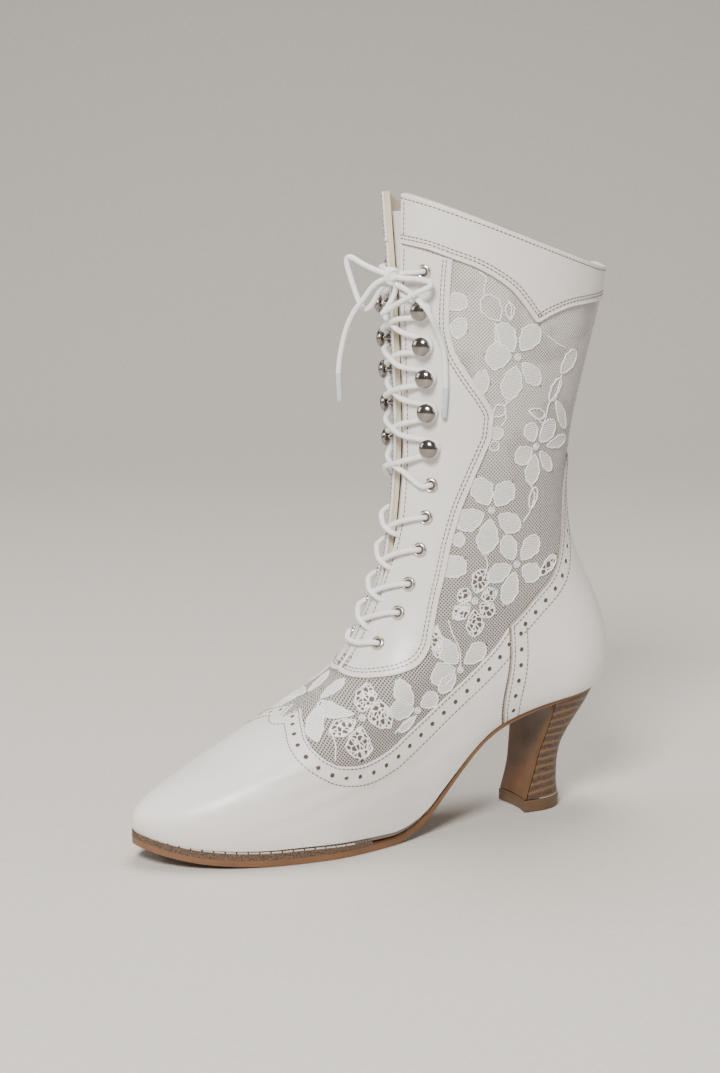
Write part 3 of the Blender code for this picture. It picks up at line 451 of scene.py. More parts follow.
def outward(around, level):
    """Outward normals of the last's surface."""
    around, level = np.broadcast_arrays(np.asarray(around, float), np.asarray(level, float))
    sideways, upward = slopes_at(around, level)
    normal = np.cross(upward, sideways)
    return normal / np.linalg.norm(normal, axis=-1, keepdims=True)


def skin(around, level, lift):
    """Points lifted off the last's surface by so many millimetres."""
    around, level = np.broadcast_arrays(np.asarray(around, float), np.asarray(level, float))
    lift = np.broadcast_to(np.asarray(lift, float), around.shape)
    return last(around, level) + outward(around, level) * lift[..., None]


def plan(around, reach):
    """The feather line seen from above, moved outwards by reach."""
    run = last(around + PROBE, 0.0)[..., :2] - last(around - PROBE, 0.0)[..., :2]
    run = run / np.linalg.norm(run, axis=-1, keepdims=True)
    away = np.stack([-run[..., 1], run[..., 0]], -1)
    return last(around, 0.0)[..., :2] + away * np.asarray(reach)[..., None]


def throat_share(level):
    """How far round the throat's edge is at a level."""
    ring = ring_at(level)
    half_gap = np.where(np.asarray(level) < THROAT_START - 0.01, 0, along(THROAT, level))
    depth = ring.nose * (1 - np.sqrt(1 - (half_gap / ring.ball_out) ** 2))
    length = np.hypot(ring.back_x - ring.front_x, ring.back_z - ring.front_z)
    return np.arccos(1 - 2 * depth / length) / np.pi


def beside_route(around, level, distance):
    """A line on the leather moved sideways by a signed distance in millimetres."""
    around = np.asarray(around, float)
    level = np.asarray(level, float)
    sideways, upward = slopes_at(around, level)
    run = np.gradient(last(around, level), axis=0)
    normal = np.cross(upward, sideways)
    across = np.cross(run, normal)
    across = across / np.linalg.norm(across, axis=-1, keepdims=True) * -distance
    side_side = np.sum(sideways * sideways, -1)
    up_up = np.sum(upward * upward, -1)
    side_up = np.sum(sideways * upward, -1)
    move_side = np.sum(across * sideways, -1)
    move_up = np.sum(across * upward, -1)
    split = side_side * up_up - side_up * side_up
    moved = level + (move_up * side_side - move_side * side_up) / split
    return around + (move_side * up_up - move_up * side_up) / split, np.clip(moved, 0, TOP)


def clear_of(points, edge, distance):
    """Which points keep their distance from the edge they follow; the others fell into its corners."""
    gaps = np.linalg.norm(points[:, None, :] - edge[None, ::2, :], axis=-1).min(axis=1)
    return gaps >= abs(distance) * 0.84


# Materials

class Level:
    """A number in a material's nodes, with ordinary arithmetic."""

    def __init__(self, looks, socket):
        self.looks = looks
        self.socket = socket

    def reckon(self, kind, *others, swap=False):
        parts = [self, *others]
        if swap:
            parts.reverse()
        node = self.looks.add("ShaderNodeMath", operation=kind)
        for slot, part in zip(node.inputs, parts):
            if isinstance(part, Level):
                self.looks.tree.links.new(part.socket, slot)
            else:
                slot.default_value = part
        return Level(self.looks, node.outputs[0])

    def __add__(self, other):
        return self.reckon("ADD", other)

    def __radd__(self, other):
        return self.reckon("ADD", other, swap=True)

    def __sub__(self, other):
        return self.reckon("SUBTRACT", other)

    def __rsub__(self, other):
        return self.reckon("SUBTRACT", other, swap=True)

    def __mul__(self, other):
        return self.reckon("MULTIPLY", other)

    def __rmul__(self, other):
        return self.reckon("MULTIPLY", other, swap=True)

    def __truediv__(self, other):
        return self.reckon("DIVIDE", other)

    def __rtruediv__(self, other):
        return self.reckon("DIVIDE", other, swap=True)

    def fraction(self):
        return self.reckon("FRACT")

    def size(self):
        return self.reckon("ABSOLUTE")

    def larger(self, other):
        return self.reckon("MAXIMUM", other)

    def smaller(self, other):
        return self.reckon("MINIMUM", other)

    def wave(self):
        return self.reckon("SINE")

    def step(self, low, high):
        """0 below low, 1 above high, and a soft rise between."""
        rise = (self - low) / (high - low)
        return rise.larger(0.0).smaller(1.0)


class Looks:
    """One material being made."""

    def __init__(self, name, colour, roughness, metallic=0.0, coat=0.0, sheen=0.0):
        self.material = bpy.data.materials.new(name)
        self.material.use_nodes = True
        self.tree = self.material.node_tree
        self.shader = self.tree.nodes["Principled BSDF"]
        self.shader.inputs["Base Color"].default_value = (*colour, 1)
        self.shader.inputs["Roughness"].default_value = roughness
        self.shader.inputs["Metallic"].default_value = metallic
        self.shader.inputs["Coat Weight"].default_value = coat
        self.shader.inputs["Coat Roughness"].default_value = 0.25
        self.shader.inputs["Sheen Weight"].default_value = sheen
        self.heights = None

    def add(self, kind, links=(), values=(), **settings):
        node = self.tree.nodes.new(kind)
        for name, value in settings.items():
            setattr(node, name, value)
        for slot, source in links:
            socket = source.socket if isinstance(source, Level) else source
            self.tree.links.new(socket, node.inputs[slot])
        for slot, value in values:
            node.inputs[slot].default_value = value
        return node

    def spot(self, stretch=(1, 1, 1)):
        """Where a point is in the boot's own frame, in metres, stretched along the axes."""
        place = self.add("ShaderNodeTexCoord").outputs["Object"]
        return self.add("ShaderNodeMapping", [("Vector", place)], [("Scale", stretch)]).outputs["Vector"]

    def axes(self, vector):
        node = self.add("ShaderNodeSeparateXYZ", [("Vector", vector)])
        return [Level(self, socket) for socket in node.outputs]

    def noise(self, scale, detail=2.0, stretch=(1, 1, 1)):
        values = [("Scale", scale), ("Detail", detail)]
        node = self.add("ShaderNodeTexNoise", [("Vector", self.spot(stretch))], values)
        return Level(self, node.outputs[0])

    def cells(self, scale, feature="F1"):
        links = [("Vector", self.spot())]
        node = self.add("ShaderNodeTexVoronoi", links, [("Scale", scale)], feature=feature)
        return Level(self, node.outputs["Distance"])

    def blend(self, share, low, high):
        node = self.add("ShaderNodeMix", [("Factor", share)], data_type="RGBA", clamp_factor=True)
        for slot, colour in ((6, low), (7, high)):
            if isinstance(colour, tuple):
                node.inputs[slot].default_value = (*colour, 1)
            else:
                self.tree.links.new(colour, node.inputs[slot])
        return node.outputs[2]

    def colour(self, socket):
        self.tree.links.new(socket, self.shader.inputs["Base Color"])

    def roughness(self, level):
        self.tree.links.new(level.socket, self.shader.inputs["Roughness"])

    def relief(self, level, depth):
        """Adds to the surface's relief; depth is in metres."""
        raised = level * depth
        self.heights = raised if self.heights is None else self.heights + raised

    def done(self):
        if self.heights is not None:
            values = [("Strength", 1.0), ("Distance", 1.0)]
            bump = self.add("ShaderNodeBump", [("Height", self.heights)], values)
            self.tree.links.new(bump.outputs["Normal"], self.shader.inputs["Normal"])
        return self.material


def leather_look(name, base, shade, roughness, coat):
    """Smooth leather with fine grain and slow, soft waves."""
    looks = Looks(name, base, roughness, coat=coat)
    looks.colour(looks.blend(looks.noise(28, 3).step(0.3, 0.75), base, shade))
    looks.roughness(looks.noise(60, 3) * 0.22 + (roughness - 0.11))
    looks.relief(looks.cells(1500), LEATHER_GRAIN)
    looks.relief(looks.noise(2600, 2), LEATHER_GRAIN * 0.8)
    looks.relief(looks.noise(75, 2, (1, 1, 2.0)), 0.00035)
    return looks.done()


def net_look():
    """White net with open holes painted dark as painted shade of the boot's inside; darker low down, paler
    near the collar.
    """
    looks = Looks("lace_net", (0.8, 0.78, 0.75), 0.8, sheen=0.15)
    chart = looks.add("ShaderNodeUVMap", uv_map="UVMap").outputs["UV"]
    across, upward, _ = looks.axes(chart)
    pitch = bpy.context.scene.boot.net_pitch
    rising = ((across + upward) / pitch).fraction() - 0.5
    falling = ((across - upward) / pitch).fraction() - 0.5
    height = looks.axes(looks.spot())[2]
    patch = looks.noise(30, 2).step(0.42, 0.50) * height.step(0.165, 0.20)
    net = rising.size().larger(falling.size()).step(0.30, 0.37)
    thread = net.larger(falling.size().step(0.14, 0.24) * patch)
    pale = (height + looks.noise(22, 2) * 0.06).step(0.09, 0.30)
    # The holes' colour is painted shade of the boot's inside, lighter towards the collar.
    holes = looks.blend(pale, (0.075, 0.056, 0.045), (0.25, 0.21, 0.18))
    threads = looks.blend(pale, (0.50, 0.465, 0.435), (0.64, 0.61, 0.58))
    looks.colour(looks.blend(thread, holes, threads))
    looks.relief(thread, 0.00030)
    looks.relief(looks.noise(900, 2), 0.00008)
    return looks.done()


def satin_look():
    """White satin worked in fine rows."""
    looks = Looks("lace_satin", (0.83, 0.82, 0.805), 0.7, sheen=0.25)
    x, _, z = looks.axes(looks.spot())
    rows = ((z + x * 0.25 + looks.noise(160, 2) * 0.0016) / SATIN_PITCH).fraction() - 0.5
    line = rows.size().step(0.10, 0.45)
    # The grooves between the rows are painted darker: painted shade.
    looks.colour(looks.blend(line, (0.82, 0.80, 0.78), (0.58, 0.55, 0.52)))
    looks.relief(1.0 - line, 0.00022)
    looks.relief(looks.noise(1300, 2), 0.00010)
    return looks.done()


def cell_look():
    """Petals worked as white cord round open cells, which are painted near black as painted shade."""
    looks = Looks("lace_cells", (0.8, 0.79, 0.77), 0.75)
    cord = 1.0 - looks.cells(400, "DISTANCE_TO_EDGE").step(0.10, 0.17)
    # The cells' near-black colour is painted shade seen through the openings.
    looks.colour(looks.blend(cord, (0.11, 0.085, 0.070), (0.84, 0.83, 0.81)))
    looks.relief(cord, 0.00045)
    return looks.done()


def cloth_look(name, light, dark):
    """Plain woven cloth."""
    looks = Looks(name, light, 0.9, sheen=0.2)
    x, y, z = looks.axes(looks.spot())
    turns = 2 * math.pi / CLOTH_PITCH
    weave = ((x + y) * turns).wave() * (z * turns).wave()
    looks.colour(looks.blend(looks.noise(45, 4), light, dark))
    looks.relief(weave, 0.00006)
    looks.relief(looks.noise(500, 3), 0.00015)
    return looks.done()


def cord_look():
    """Round braided lace."""
    looks = Looks("braided_lace", (0.86, 0.86, 0.85), 0.8, sheen=0.2)
    x, y, z = looks.axes(looks.spot())
    rising = ((z + x * 0.6 + y * 0.6) / BRAID_PITCH).fraction() - 0.5
    falling = ((z - x * 0.6 - y * 0.6) / BRAID_PITCH).fraction() - 0.5
    braid = rising.size().larger(falling.size())
    # The grooves between the strands are painted darker: painted shade.
    looks.colour(looks.blend(braid.step(0.42, 0.5), (0.87, 0.87, 0.86), (0.70, 0.70, 0.69)))
    looks.relief(1.0 - braid, 0.00022)
    return looks.done()


def thread_look(name, light, dark):
    """Thread or cord with a fuzzy surface."""
    looks = Looks(name, light, 0.75, sheen=0.1)
    looks.colour(looks.blend(looks.noise(700, 2), light, dark))
    looks.relief(looks.noise(2500, 2), 0.00008)
    return looks.done()


def metal_look(name, colour, stain, roughness):
    """Worn metal, a little stained."""
    looks = Looks(name, colour, roughness, metallic=1.0)
    looks.colour(looks.blend(looks.noise(260, 3).step(0.45, 0.8), colour, stain))
    looks.roughness(looks.noise(420, 3) * 0.18 + (roughness - 0.06))
    looks.relief(looks.noise(1800, 2), 0.00001)
    return looks.done()


def stack_look():
    """Dark leather layers with pale wavy lines between them."""
    looks = Looks("stacked_heel", (0.07, 0.04, 0.025), 0.55, coat=0.04)
    x, _, z = looks.axes(looks.spot())
    waver = looks.noise(60, 3) * 0.0042
    layer = ((z - x * 0.10 + waver) / HEEL_LAYER).fraction()
    line = layer.step(0.42, 0.72) - layer.step(0.78, 1.0)
    grain = looks.noise(900, 4, (1, 1, 2))
    dark = looks.blend(grain.step(0.38, 0.66), (0.028, 0.017, 0.012), (0.115, 0.066, 0.038))
    looks.colour(looks.blend(line * 0.8, dark, (0.20, 0.105, 0.046)))
    looks.roughness(grain * 0.25 + 0.42)
    looks.relief(grain, 0.00012)
    looks.relief(line, 0.00010)
    return looks.done()


def wood_look(name, base, shade, roughness, coat, rough_relief=0.00006):
    """Brown edges and treads, streaked along the boot."""
    looks = Looks(name, base, roughness, coat=coat)
    streak = looks.noise(110, 4, (0.25, 1, 1))
    looks.colour(looks.blend(streak.step(0.3, 0.72), base, shade))
    looks.roughness(looks.noise(140, 3) * 0.2 + (roughness - 0.1))
    looks.relief(looks.noise(900, 3), rough_relief)
    return looks.done()


def welt_look():
    """Rough, speckled brown edge."""
    looks = Looks("brown_welt", (0.14, 0.09, 0.065), 0.85)
    speckle = looks.noise(1400, 3)
    looks.colour(looks.blend(speckle.step(0.36, 0.66), (0.050, 0.030, 0.020), (0.170, 0.104, 0.066)))
    looks.relief(speckle, 0.0008)
    return looks.done()


def plain_look(name, colour, roughness):
    """A plain finish, faintly clouded."""
    looks = Looks(name, colour, roughness)
    looks.colour(looks.blend(looks.noise(300, 2), colour, tuple(c * 0.82 for c in colour)))
    return looks.done()


def chosen(part, darker=1.0):
    """The colour set for a part, made darker if need be."""
    return tuple(c * darker for c in getattr(bpy.context.scene.boot, part + "_colour"))


MATERIALS = {
    "leather": lambda: leather_look(
        "white_leather", chosen("leather"), chosen("leather", 0.925), 0.38, 0.12),
    "net": net_look,
    "satin": satin_look,
    "cells": cell_look,
    "lining": lambda: cloth_look("cream_lining", (0.68, 0.60, 0.45), (0.56, 0.48, 0.35)),
    "tongue": lambda: leather_look(
        "tongue_leather", (0.76, 0.735, 0.705), (0.70, 0.67, 0.64), 0.55, 0.02),
    "cord": cord_look,
    "motif": lambda: thread_look("motif_cord", (0.90, 0.89, 0.88), (0.80, 0.785, 0.77)),
    "stitch": lambda: thread_look("taupe_thread", chosen("thread"), chosen("thread", 0.63)),
    "welt_stitch": lambda: thread_look("pale_thread", (0.60, 0.52, 0.43), (0.40, 0.33, 0.27)),
    # Taupe of the folded edges and of the plates' undersides: painted shade.
    "edge": lambda: thread_look("folded_edge", (0.40, 0.34, 0.29), (0.30, 0.25, 0.21)),
    # Near-black discs in the holes: painted shade.
    "hole": lambda: plain_look("punched_hole", (0.085, 0.066, 0.052), 0.9),
    "outsole": lambda: wood_look(
        "tan_outsole", chosen("outsole"), chosen("outsole", 0.65), 0.42, 0.10),
    "welt": welt_look,
    "stack": stack_look,
    "breast": lambda: wood_look(
        "polished_breast", chosen("breast"), chosen("breast", 0.66), 0.46, 0.03, 0.00001),
    "tread": lambda: wood_look(
        "heel_tread", (0.135, 0.074, 0.034), (0.085, 0.045, 0.022), 0.5, 0.05, 0.0001),
    "silver": lambda: metal_look("eyelet_metal", (0.66, 0.63, 0.58), (0.48, 0.43, 0.36), 0.22),
    "dark_metal": lambda: metal_look("hook_metal", (0.34, 0.315, 0.29), (0.24, 0.215, 0.19), 0.12),
    "aglet": lambda: plain_look("aglet_plastic", (0.55, 0.61, 0.62), 0.25),
    "floor": lambda: plain_look("studio_floor", (0.60, 0.565, 0.52), 0.7),
}


def paint(name):
    """The material of that name, made once."""
    made = bpy.context.scene.boot.get("made_" + name)
    if made is None:
        made = MATERIALS[name]()
        bpy.context.scene.boot["made_" + name] = made.name
        return made
    return bpy.data.materials[made]


# Shapes

def keep(obj, looks, slot, *nodes):
    """Hangs a finished piece on the boot with its materials and hides the solids it replaces; what it
    stands for (slot) is not used.
    """
    if obj.name not in bpy.context.scene.collection.all_objects:
        bpy.context.scene.collection.objects.link(obj)
    for look in looks:
        obj.data.materials.append(paint(look))
    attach(obj, "root")
    if nodes:
        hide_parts(*nodes)
    return obj


def mesh_piece(bm, name, sharp=40):
    """A mesh in millimetres made into an object in metres, smooth but for its sharp edges."""
    bmesh.ops.scale(bm, vec=Vector((MM, MM, MM)), verts=bm.verts[:])
    mesh = bpy.data.meshes.new(name)
    bm.to_mesh(mesh)
    bm.free()
    mesh.shade_smooth()
    mesh.set_sharp_from_angle(angle=math.radians(sharp))
    return bpy.data.objects.new(name, mesh)


def lay_sheet(bm, outer, inner, chart=None, rim=0):
    """Adds a closed sheet between two grids of points, by column and row."""
    columns, rows = outer.shape[:2]
    tags = [bm.verts.layers.int.get(n) or bm.verts.layers.int.new(n) for n in ("column", "row")]
    made = bmesh.ops.create_grid(bm, x_segments=columns - 1, y_segments=rows - 1, size=0.5)["verts"]
    for vert in made:
        c = round((vert.co.x + 0.5) * (columns - 1))
        r = round((vert.co.y + 0.5) * (rows - 1))
        vert[tags[0]] = c
        vert[tags[1]] = r
        vert.co = inner[c, r]
    faces = list({face for vert in made for face in vert.link_faces})
    for face in faces:
        face.material_index = 1
    grown = bmesh.ops.extrude_face_region(bm, geom=faces, use_keep_orig=True)["geom"]
    for vert in (item for item in grown if isinstance(item, bmesh.types.BMVert)):
        vert.co = outer[vert[tags[0]], vert[tags[1]]]
    top = [item for item in grown if isinstance(item, bmesh.types.BMFace)]
    for face in top:
        face.material_index = 0
    whole = set(faces) | set(top) | {f for face in faces for e in face.edges for f in e.link_faces}
    for face in whole - set(faces) - set(top):
        face.material_index = rim
    bmesh.ops.recalc_face_normals(bm, faces=list(whole))
    if chart is not None:
        layer = bm.loops.layers.uv.get("UVMap") or bm.loops.layers.uv.new("UVMap")
        for face in whole:
            for loop in face.loops:
                loop[layer].uv = chart[loop.vert[tags[0]], loop.vert[tags[1]]]


def soften(obj, width):
    """Rounds a piece's sharp edges."""
    bevel = obj.modifiers.new("rounded_edges", "BEVEL")
    bevel.width = width * MM
    bevel.segments = 2
    bevel.limit_method = "ANGLE"
    bevel.angle_limit = math.radians(50)
    bevel.harden_normals = False


def leather_sheet(name, around, level, node, high=LEATHER_TOP):
    """A plate of white leather laid over the upper."""
    bm = bmesh.new()
    lay_sheet(bm, skin(around, level, high), skin(around, level, LEATHER_LOW))
    # The plates' undersides take the edge look, taupe painted shade.
    soften(keep(mesh_piece(bm, name), ["leather", "edge"], "white_leather", node), 0.38)


def smooth_route(points, spacing):
    """Evenly spaced points on a smooth curve through the given ones."""
    points = [Vector(p) for p in points]
    ends = [points[0] * 2 - points[1]] + points + [points[-1] * 2 - points[-2]]
    dense = []
    for a, b, c, d in zip(ends, ends[1:], ends[2:], ends[3:]):
        for k in range(12):
            t = k / 12
            dense.append(0.5 * (2 * b + (c - a) * t + (2 * a - 5 * b + 4 * c - d) * t * t
                                + (3 * b - a - 3 * c + d) * t ** 3))
    dense.append(points[-1])
    return even_route(np.array([tuple(p) for p in dense]), spacing)


def run_lengths(points):
    """How far along a line of points each one is."""
    return np.concatenate([[0], np.cumsum(np.linalg.norm(np.diff(points, axis=0), axis=1))])


def even_route(points, spacing):
    """Evenly spaced points along a line of points."""
    lengths = run_lengths(points)
    count = max(2, round(lengths[-1] / spacing))
    marks = np.linspace(0, lengths[-1], count + 1)
    return np.column_stack([np.interp(marks, lengths, points[:, k]) for k in range(3)])


def relaxed(route, spacing):
    """The route with its tight bends eased, its ends kept."""
    fine = even_route(np.asarray(route), 0.6)
    for _ in range(14):
        fine[1:-1] = (fine[:-2] + 2 * fine[1:-1] + fine[2:]) / 4
    return even_route(fine, spacing)


def cord_piece(name, routes, diameter, rounding=3, closed=False):
    """Round cords along routes of points in millimetres, as one curve."""
    curve = bpy.data.curves.new(name, "CURVE")
    curve.dimensions = "3D"
    curve.bevel_depth = diameter / 2 * MM
    curve.bevel_resolution = rounding
    curve.use_fill_caps = not closed
    for route in routes:
        spline = curve.splines.new("POLY")
        spline.points.add(len(route) - 1)
        spline.use_cyclic_u = closed
        spline.use_smooth = True
        for target, point in zip(spline.points, route):
            target.co = (*(Vector(point) * MM), 1)
    return bpy.data.objects.new(name, curve)


def stitches(route, step, length):
    """Short straight stitches along a line of points."""
    marks = even_route(np.asarray(route), step)
    made = []
    for a, b in zip(marks, marks[1:]):
        middle = (a + b) / 2
        run = (b - a) / np.linalg.norm(b - a) * length / 2
        made.append([middle - run, middle + run])
    return made


def upright(place, up):
    """The placing of a turned piece, its axis along up."""
    return Matrix.Translation(place) @ up.to_track_quat("Z", "X").to_matrix().to_4x4()


def stand(around, level, lift):
    """The placing of a turned piece on the leather, its axis along the outward normal."""
    return upright(Vector(skin(around, level, lift)), Vector(outward(around, level)))


def turn(bm, profile, steps, placing, closed=True):
    """Adds a shape turned round an axis from a profile of radius and height."""
    before = set(bm.verts)
    verts = [bm.verts.new((r, 0, z)) for r, z in profile]
    pairs = list(zip(verts, verts[1:]))
    if closed:
        pairs.append((verts[-1], verts[0]))
    edges = [bm.edges.new(pair) for pair in pairs]
    bmesh.ops.spin(bm, geom=verts + edges, cent=(0, 0, 0), axis=(0, 0, 1), angle=2 * math.pi,
                   steps=steps, use_merge=True)
    made = [v for v in bm.verts if v not in before]
    bmesh.ops.remove_doubles(bm, verts=made, dist=0.001)
    made = [v for v in bm.verts if v not in before]
    bmesh.ops.recalc_face_normals(bm, faces=list({f for v in made for f in v.link_faces}))
    bmesh.ops.transform(bm, matrix=placing, verts=made)


# Leather pieces

def vamp_edge(t):
    """The vamp's upper edge at row t of its table."""
    return column_of(VAMP, 1, t), column_of(VAMP, 2, t)


def counter_front(t):
    """The counter's front edge, t from 0 at the feather line to 1 at its top."""
    low, top, level = COUNTER[0]
    return low + (top - low) * t + SIDE_BULGE * np.sin(np.pi * t), FLOOR_LEVEL + (level - FLOOR_LEVEL) * t


def counter_edge(t):
    """The counter's upper edge at row t of its table."""
    return column_of(COUNTER, 1, t), column_of(COUNTER, 2, t)


def counter_line(start=0.0, short=0.0):
    """The counter's outline, up its front edge from start and along its top to short of the back."""
    front = counter_front(np.linspace(start, 0.97, 80))
    top = counter_edge(np.linspace(0, len(COUNTER) - 1 - short, 220))
    return [np.concatenate(pair) for pair in zip(front, top)]


def cuff_share(share, level):
    """How far round a column of the cuff is, which starts at the throat's edge."""
    edge = throat_share(level)
    start = CUFF_EDGE[0][0]
    return edge + (share - start) / (1 - start) * (1 - edge)


def cuff_line(count):
    """The cuff's lower edge."""
    share = np.linspace(CUFF_EDGE[0][0], 1, count)
    level = along(CUFF_EDGE, share)
    return cuff_share(share, level), level


def facing_edge():
    """The facing's outline from the throat's foot, along the bottom and up the rear edge."""
    front = np.array([[throat_share(np.array(7.10)), 7.10]])
    rear = np.array([[row[1], row[2]] for row in FACING])
    start = front + (rear[:1] - front) * np.array([[0.02], [0.25], [0.5], [0.75]])
    points = np.vstack([start, rear])
    t = np.linspace(0, len(points) - 1, 260)
    return column_of(points, 0, t), column_of(points, 1, t)


def crease_depth(around, level):
    """Soft troughs over the ball, with a low ridge beside each."""
    depth = np.zeros(np.broadcast(around, level).shape)
    for share, height, reach, width, drop in CREASES:
        for side in (-1, 1):
            run = (around * side - share) / reach
            off = (level - height - 0.5 * run * width) / width
            fade = np.exp(-run * run)
            depth = depth + drop * fade * (np.exp(-off * off) - 0.45 * np.exp(-(off - 1.6) ** 2))
    return depth


def mirrored(values, sign=-1):
    """The lateral half's rows, then the medial half's; both meet in the lateral half's last row."""
    return np.concatenate([sign * values, values[-2::-1]])


def rising_rows(low, top, level, bulge):
    """Shares and levels of a plate from the feather line up to its edge."""
    rows = np.linspace(0, 1, 56)
    around = low[:, None] + (top - low)[:, None] * rows + bulge[:, None] * np.sin(np.pi * rows)
    return around, FLOOR_LEVEL + (level[:, None] - FLOOR_LEVEL) * rows


def make_vamp():
    """The vamp, with soft creases over the ball."""
    t = np.linspace(0, len(VAMP) - 1, 150)[::-1]
    top, level = vamp_edge(t)
    low = mirrored(column_of(VAMP, 0, t))
    bulge = SIDE_BULGE * (np.abs(low) / VAMP[-1][0]) ** 4 * np.sign(low)
    around, levels = rising_rows(low, mirrored(top), mirrored(level, 1), bulge)
    leather_sheet("vamp_leather", around, levels, "vamp", LEATHER_TOP - crease_depth(around, levels))


def make_counter():
    """The counter round the heel."""
    t = np.linspace(0, len(COUNTER) - 1, 90)
    top, level = counter_edge(t)
    low = mirrored(column_of(COUNTER, 0, t))
    fade = np.clip(1 - (np.abs(low) - COUNTER[0][0]) / 0.2, 0, 1)
    bulge = SIDE_BULGE * fade ** 2 * np.sign(low)
    around, levels = rising_rows(low, mirrored(top), mirrored(level, 1), bulge)
    leather_sheet("counter_leather", around, levels, "counter", RAISED_TOP)


def make_cuff():
    """The cuff's plate; one column is put at the point of its lower edge."""
    share = np.linspace(CUFF_EDGE[0][0], 1, 130)
    share = np.sort(np.append(share, 0.53))
    low = along(CUFF_EDGE, share)
    level = low[:, None] + (TOP - low)[:, None] * np.linspace(0, 1, 14)
    around = cuff_share(share[:, None], level)
    leather_sheet("cuff_leather", mirrored(around), mirrored(level, 1), "cuff", RAISED_TOP)


def make_facing(word, side):
    """One facing, from the throat's edge back to its own."""
    t = np.linspace(0, len(FACING) - 1, 160)
    front, back, back_level = (column_of(FACING, k, t)[:, None] for k in range(3))
    rows = np.linspace(0, 1, 24)
    edge = throat_share(front)
    around = side * (edge + (back - edge) * rows)
    level = front + (back_level - front) * rows
    leather_sheet(f"facing_leather_{word}", around, level, f"facing_{word}")


# Wall, strip and tongue

def net_chart(outer):
    """The net's chart in metres: the way round each row, counted from CHART_X on both sides, and height."""
    sideways = np.linalg.norm(np.diff(outer[..., :2], axis=0), axis=-1)
    sideways = np.vstack([np.zeros((1, outer.shape[1])), np.cumsum(sideways, axis=0)])
    half = outer.shape[0] // 2
    origin_x = CHART_X / MM
    for k in range(outer.shape[1]):
        origin = np.interp(origin_x, outer[:half + 1, k, 0], sideways[:half + 1, k])
        sideways[:half + 1, k] -= origin
        origin = np.interp(-origin_x, -outer[half:, k, 0], sideways[half:, k])
        sideways[half + 1:, k] -= origin
    return np.stack([sideways * MM, outer[..., 2] * MM], -1)


def make_panel():
    """The upper's wall: lace net outside, cloth lining inside."""
    levels = np.concatenate([
        np.linspace(0, 6.4, 30), np.linspace(6.6, 6.98, 3), np.linspace(THROAT_START, TOP, 46)])
    share = (1 - np.cos(np.linspace(0, math.pi, 100))) / 2 * 0.5 + np.linspace(0, 1, 100) * 0.5
    edge = throat_share(levels)[None, :]
    around = mirrored(edge + (1 - edge) * share[:, None])
    level = np.broadcast_to(levels, around.shape)
    outer = skin(around, level, LACE_TOP)
    bm = bmesh.new()
    lay_sheet(bm, outer, skin(around, level, -WALL), net_chart(outer), rim=1)
    bmesh.ops.remove_doubles(bm, verts=bm.verts[:], dist=0.004)
    inside = [face for face in bm.faces if all(abs(vert.co.y) < 0.01 for vert in face.verts)]
    bmesh.ops.delete(bm, geom=inside, context="FACES")
    bmesh.ops.recalc_face_normals(bm, faces=bm.faces[:])
    keep(mesh_piece(bm, "lace_panel"), ["net", "lining"], "upper_lining_and_lace", "upper")


def make_rear_strip():
    """The plain strip down the back, from the cuff to the counter."""
    share = np.linspace(1 - STRIP_HALF, 1 + STRIP_HALF, 31)[:, None]
    level = np.linspace(*STRIP_LEVELS, 50)[None, :]
    bm = bmesh.new()
    lay_sheet(bm, skin(share, level, LACE_TOP + 0.45), skin(share, level, LACE_TOP - 0.1))
    soften(keep(mesh_piece(bm, "rear_strip"), ["tongue", "lining"], "white_leather"), 0.2)


def make_tongue():
    """The tongue under the throat, swelling out a little between the hooks."""
    share = np.linspace(-TONGUE_HALF, TONGUE_HALF, 33)[:, None]
    level = np.linspace(*TONGUE_LEVELS, 70)[None, :]
    swell = 1.2 * np.exp(-((level - 12.9) / 0.75) ** 2) * np.exp(-(share / 0.05) ** 2)
    under = swell - WALL - TONGUE_GAP
    bm = bmesh.new()
    lay_sheet(bm, skin(share, level, under), skin(share, level, under - TONGUE_THICK))
    soften(keep(mesh_piece(bm, "tongue_leather"), ["tongue", "lining"], "cream_textile", "tongue"), 0.4)


# Sole and heel

def whole_bed(reach):
    """Places over the whole sole, its edge moved outwards by reach, a function of x."""
    half = (1 - np.cos(np.linspace(0, math.pi, 90))) / 2
    away = reach(last(half, 0.0)[..., 0])
    left = plan(-half, away)
    right = plan(half, away)
    across = (0.5 - 0.5 * np.cos(np.linspace(0, math.pi, 13)))[None, :, None]
    return left[:, None] + (right - left)[:, None] * across


def bed_strip(inside, outside, end):
    """Places over a strip along the sole's edge, round the toe to a share of the way back."""
    half = end * (1 - np.cos(np.linspace(0, math.pi, 90))) / 2
    around = np.concatenate([-half[:0:-1], half])
    return np.stack([plan(around, np.full(around.shape, r)) for r in (-inside, -1.0, outside)], 1)


def bed(name, xy, bottom, top, look, slot, node):
    """A plate over places of the sole, between two heights that are functions of x and y."""
    outer = np.concatenate([xy, top(xy[..., 0], xy[..., 1])[..., None]], -1)
    inner = np.concatenate([xy, bottom(xy[..., 0], xy[..., 1])[..., None]], -1)
    bm = bmesh.new()
    lay_sheet(bm, outer, inner)
    bmesh.ops.remove_doubles(bm, verts=bm.verts[:], dist=0.02)
    soften(keep(mesh_piece(bm, name), [look, look], slot, node), 0.4)


